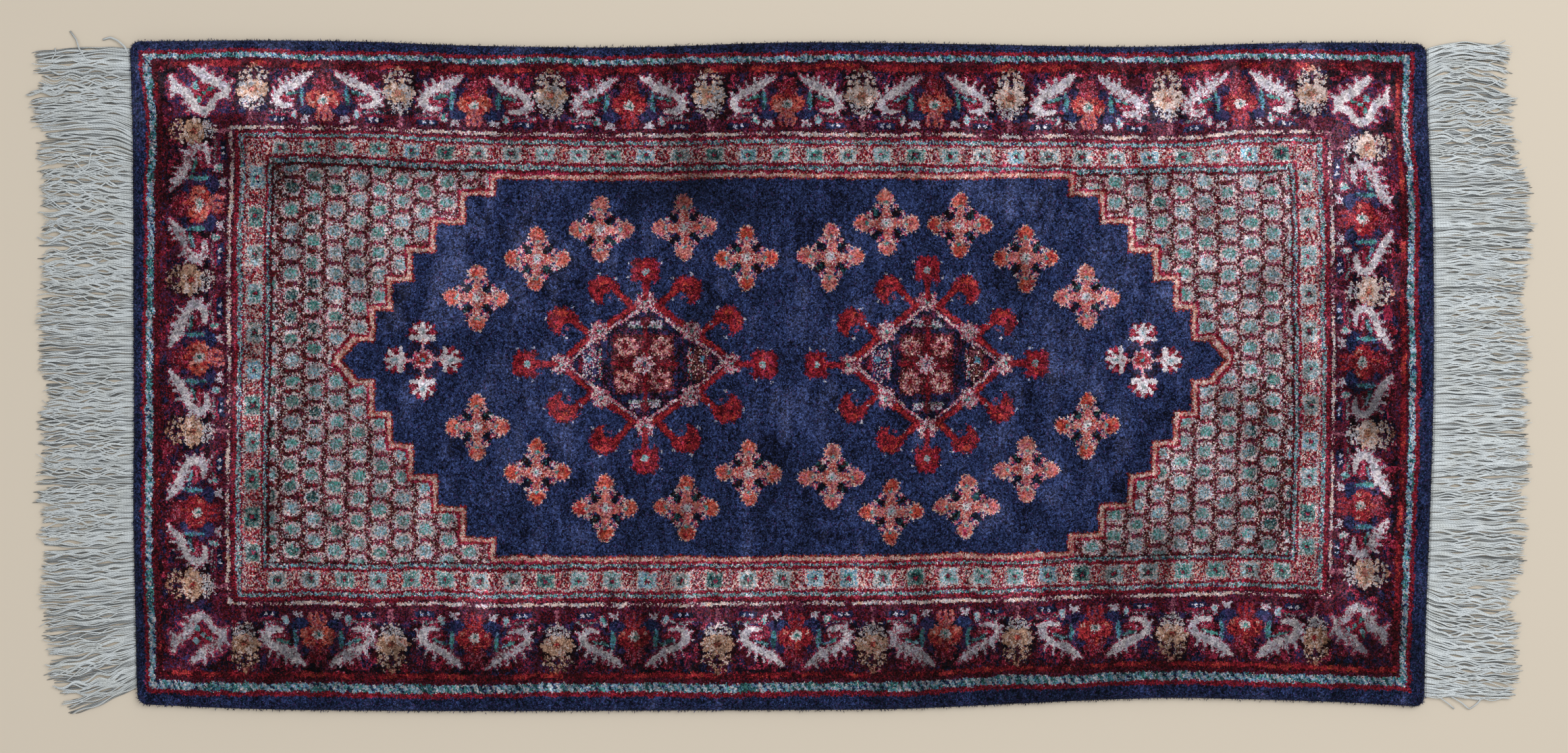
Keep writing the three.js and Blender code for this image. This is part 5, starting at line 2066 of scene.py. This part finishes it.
class RugPile(bpy.types.PropertyGroup):
    """How the pile stands."""

    loose_tufts: bpy.props.IntProperty(
        name="Loose tufts",
        description="Silk ends that stand out of the rim all round",
        default=9000,
        min=100,
        max=40000,
    )


class RugFringe(bpy.types.PropertyGroup):
    """The loose warp ends."""

    strands: bpy.props.IntProperty(
        name="Warp ends",
        description="Loose warp ends at each short end of the rug",
        default=1000,
        min=50,
        max=1050,
    )
    colour: colour_setting("Yarn colour", "Colour of the undyed warp yarn", (222, 229, 232))


class RugStage(bpy.types.PropertyGroup):
    """The floor and the light."""

    floor_colour: colour_setting("Floor", "Colour of the floor", (214, 203, 186))
    camera_height: bpy.props.FloatProperty(
        name="Camera height",
        description="How far above the floor the camera stands",
        default=2.6,
        min=1.0,
        max=10.0,
        unit="LENGTH",
    )
    view_width: bpy.props.FloatProperty(
        name="View width",
        description="How much of the floor the picture takes in from side to side",
        default=1.4756,
        min=0.5,
        max=5.0,
        unit="LENGTH",
    )
    sky: bpy.props.FloatProperty(
        name="Sky light",
        description="Strength of the even light from all round",
        default=0.55,
        min=0.0,
        max=3.0,
    )
    lamp_power: bpy.props.FloatProperty(
        name="Lamp power",
        description="Power of the large soft lamp",
        default=62.0,
        min=0.0,
        max=1000.0,
        unit="POWER",
    )


# ------------------------------ Operators
def join_root(piece, slot, *nodes):
    """Seats a piece on the rug's one body, in the place of CAD nodes if any are given."""
    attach(piece, "root")
    if nodes:
        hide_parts(*nodes)


def need(name):
    """A piece that an earlier operator has made."""
    found = bpy.data.objects.get(name)
    if found is None:
        raise RuntimeError(f"{name} has to be made first")
    return found


class RUG_OT_pile(bpy.types.Operator):
    """Knot the rug's pile, with its border, field and medallions"""

    bl_idname = "rug.pile"
    bl_label = "Knot the Pile"

    def execute(self, context):
        join_root(make_pile(), "silk_pile", "pile")
        return {"FINISHED"}


class RUG_OT_edge_tufts(bpy.types.Operator):
    """Add the loose silk ends that stand out of the rim"""

    bl_idname = "rug.edge_tufts"
    bl_label = "Add Edge Tufts"

    def execute(self, context):
        tufts = make_edge_tufts(need("rug_pile"), context.scene.rug_pile.loose_tufts)
        join_root(tufts, "silk_pile")
        return {"FINISHED"}


class RUG_OT_fringes(bpy.types.Operator):
    """Lay the loose warp ends at both short ends"""

    bl_idname = "rug.fringes"
    bl_label = "Lay the Fringes"

    def execute(self, context):
        warp = warp_material()
        for node, outward in FRINGE_NODES.items():
            fringe = make_fringe(node, outward, context.scene.rug_fringe.strands, warp)
            join_root(fringe, "warp_fringe", node)
        return {"FINISHED"}


FLOOR_SIZE = 14.0
LAMPS = [
    # name, place, size, share of the power
    ("key_lamp", (1.7, 1.3, 2.8), 2.4, 1.0),
    ("fill_lamp", (-2.0, -1.2, 3.0), 2.6, 0.25),
]
# The point straight below the camera.
VIEW_MIDDLE = (0.0006, -0.00095)
SENSOR_WIDTH = 36.0


class RUG_OT_stage(bpy.types.Operator):
    """Set up the plain floor, the soft light and the camera straight above"""

    bl_idname = "rug.stage"
    bl_label = "Set the Stage"

    def execute(self, context):
        settings = context.scene.rug_stage
        deselect_all()
        bpy.ops.mesh.primitive_plane_add(size=FLOOR_SIZE, location=(0, 0, 0))
        floor = context.active_object
        floor.name = "floor"
        floor.data.materials.append(floor_material(settings.floor_colour))
        for name, place, size, share in LAMPS:
            add_lamp(name, place, size, settings.lamp_power * share)
        world = bpy.data.worlds.new("studio")
        world.use_nodes = True
        sky = world.node_tree.nodes["Background"].inputs
        sky["Color"].default_value = (1.0, 1.0, 1.0, 1.0)
        sky["Strength"].default_value = settings.sky
        context.scene.world = world
        context.scene.view_settings.view_transform = "Standard"
        add_camera(settings)
        return {"FINISHED"}


def add_lamp(name, place, size, power):
    """A large soft lamp turned towards the rug's middle."""
    deselect_all()
    bpy.ops.object.light_add(type="AREA", location=place)
    lamp = bpy.context.active_object
    lamp.name = name
    lamp.data.size = size
    lamp.data.energy = power
    aim = -lamp.location
    lamp.rotation_euler = aim.to_track_quat("-Z", "Y").to_euler()


def add_camera(settings):
    """The camera, looking straight down."""
    deselect_all()
    bpy.ops.object.camera_add(location=(*VIEW_MIDDLE, settings.camera_height), rotation=(0, 0, 0))
    camera = bpy.context.active_object
    camera.name = "camera"
    camera.data.sensor_width = SENSOR_WIDTH
    camera.data.lens = SENSOR_WIDTH * settings.camera_height / settings.view_width
    camera.data.clip_end = 50.0
    bpy.context.scene.camera = camera


class RUG_PT_panel(bpy.types.Panel):
    """The rug's pieces and what can be changed about them"""

    bl_idname = "RUG_PT_panel"
    bl_label = "Fringed Silk Rug"
    bl_space_type = "VIEW_3D"
    bl_region_type = "UI"
    bl_category = "Rug"

    def draw(self, context):
        layout = self.layout
        for group, operators in PANEL_ROWS:
            box = layout.box()
            settings = getattr(context.scene, group)
            for key in settings.__annotations__:
                box.prop(settings, key)
            for operator in operators:
                box.operator(operator)


PANEL_ROWS = [
    ("rug_yarns", []),
    ("rug_pile", ["rug.pile", "rug.edge_tufts"]),
    ("rug_fringe", ["rug.fringes"]),
    ("rug_stage", ["rug.stage"]),
]
SETTINGS = {
    "rug_yarns": RugYarns,
    "rug_pile": RugPile,
    "rug_fringe": RugFringe,
    "rug_stage": RugStage,
}
OPERATORS = [RUG_OT_pile, RUG_OT_edge_tufts, RUG_OT_fringes, RUG_OT_stage]
CLASSES = [*SETTINGS.values(), *OPERATORS, RUG_PT_panel]


def register():
    """Makes the operators, the panel and the settings known."""
    for cls in CLASSES:
        bpy.utils.register_class(cls)
    for name, group in SETTINGS.items():
        setattr(bpy.types.Scene, name, bpy.props.PointerProperty(type=group))


def unregister():
    """Takes the settings, the panel and the operators away again."""
    for name in SETTINGS:
        delattr(bpy.types.Scene, name)
    for cls in reversed(CLASSES):
        bpy.utils.unregister_class(cls)


def main():
    """Makes the whole rug and its stage."""
    register()
    bpy.ops.rug.pile()
    bpy.ops.rug.edge_tufts()
    bpy.ops.rug.fringes()
    bpy.ops.rug.stage()


if __name__ == "__main__":
    main()
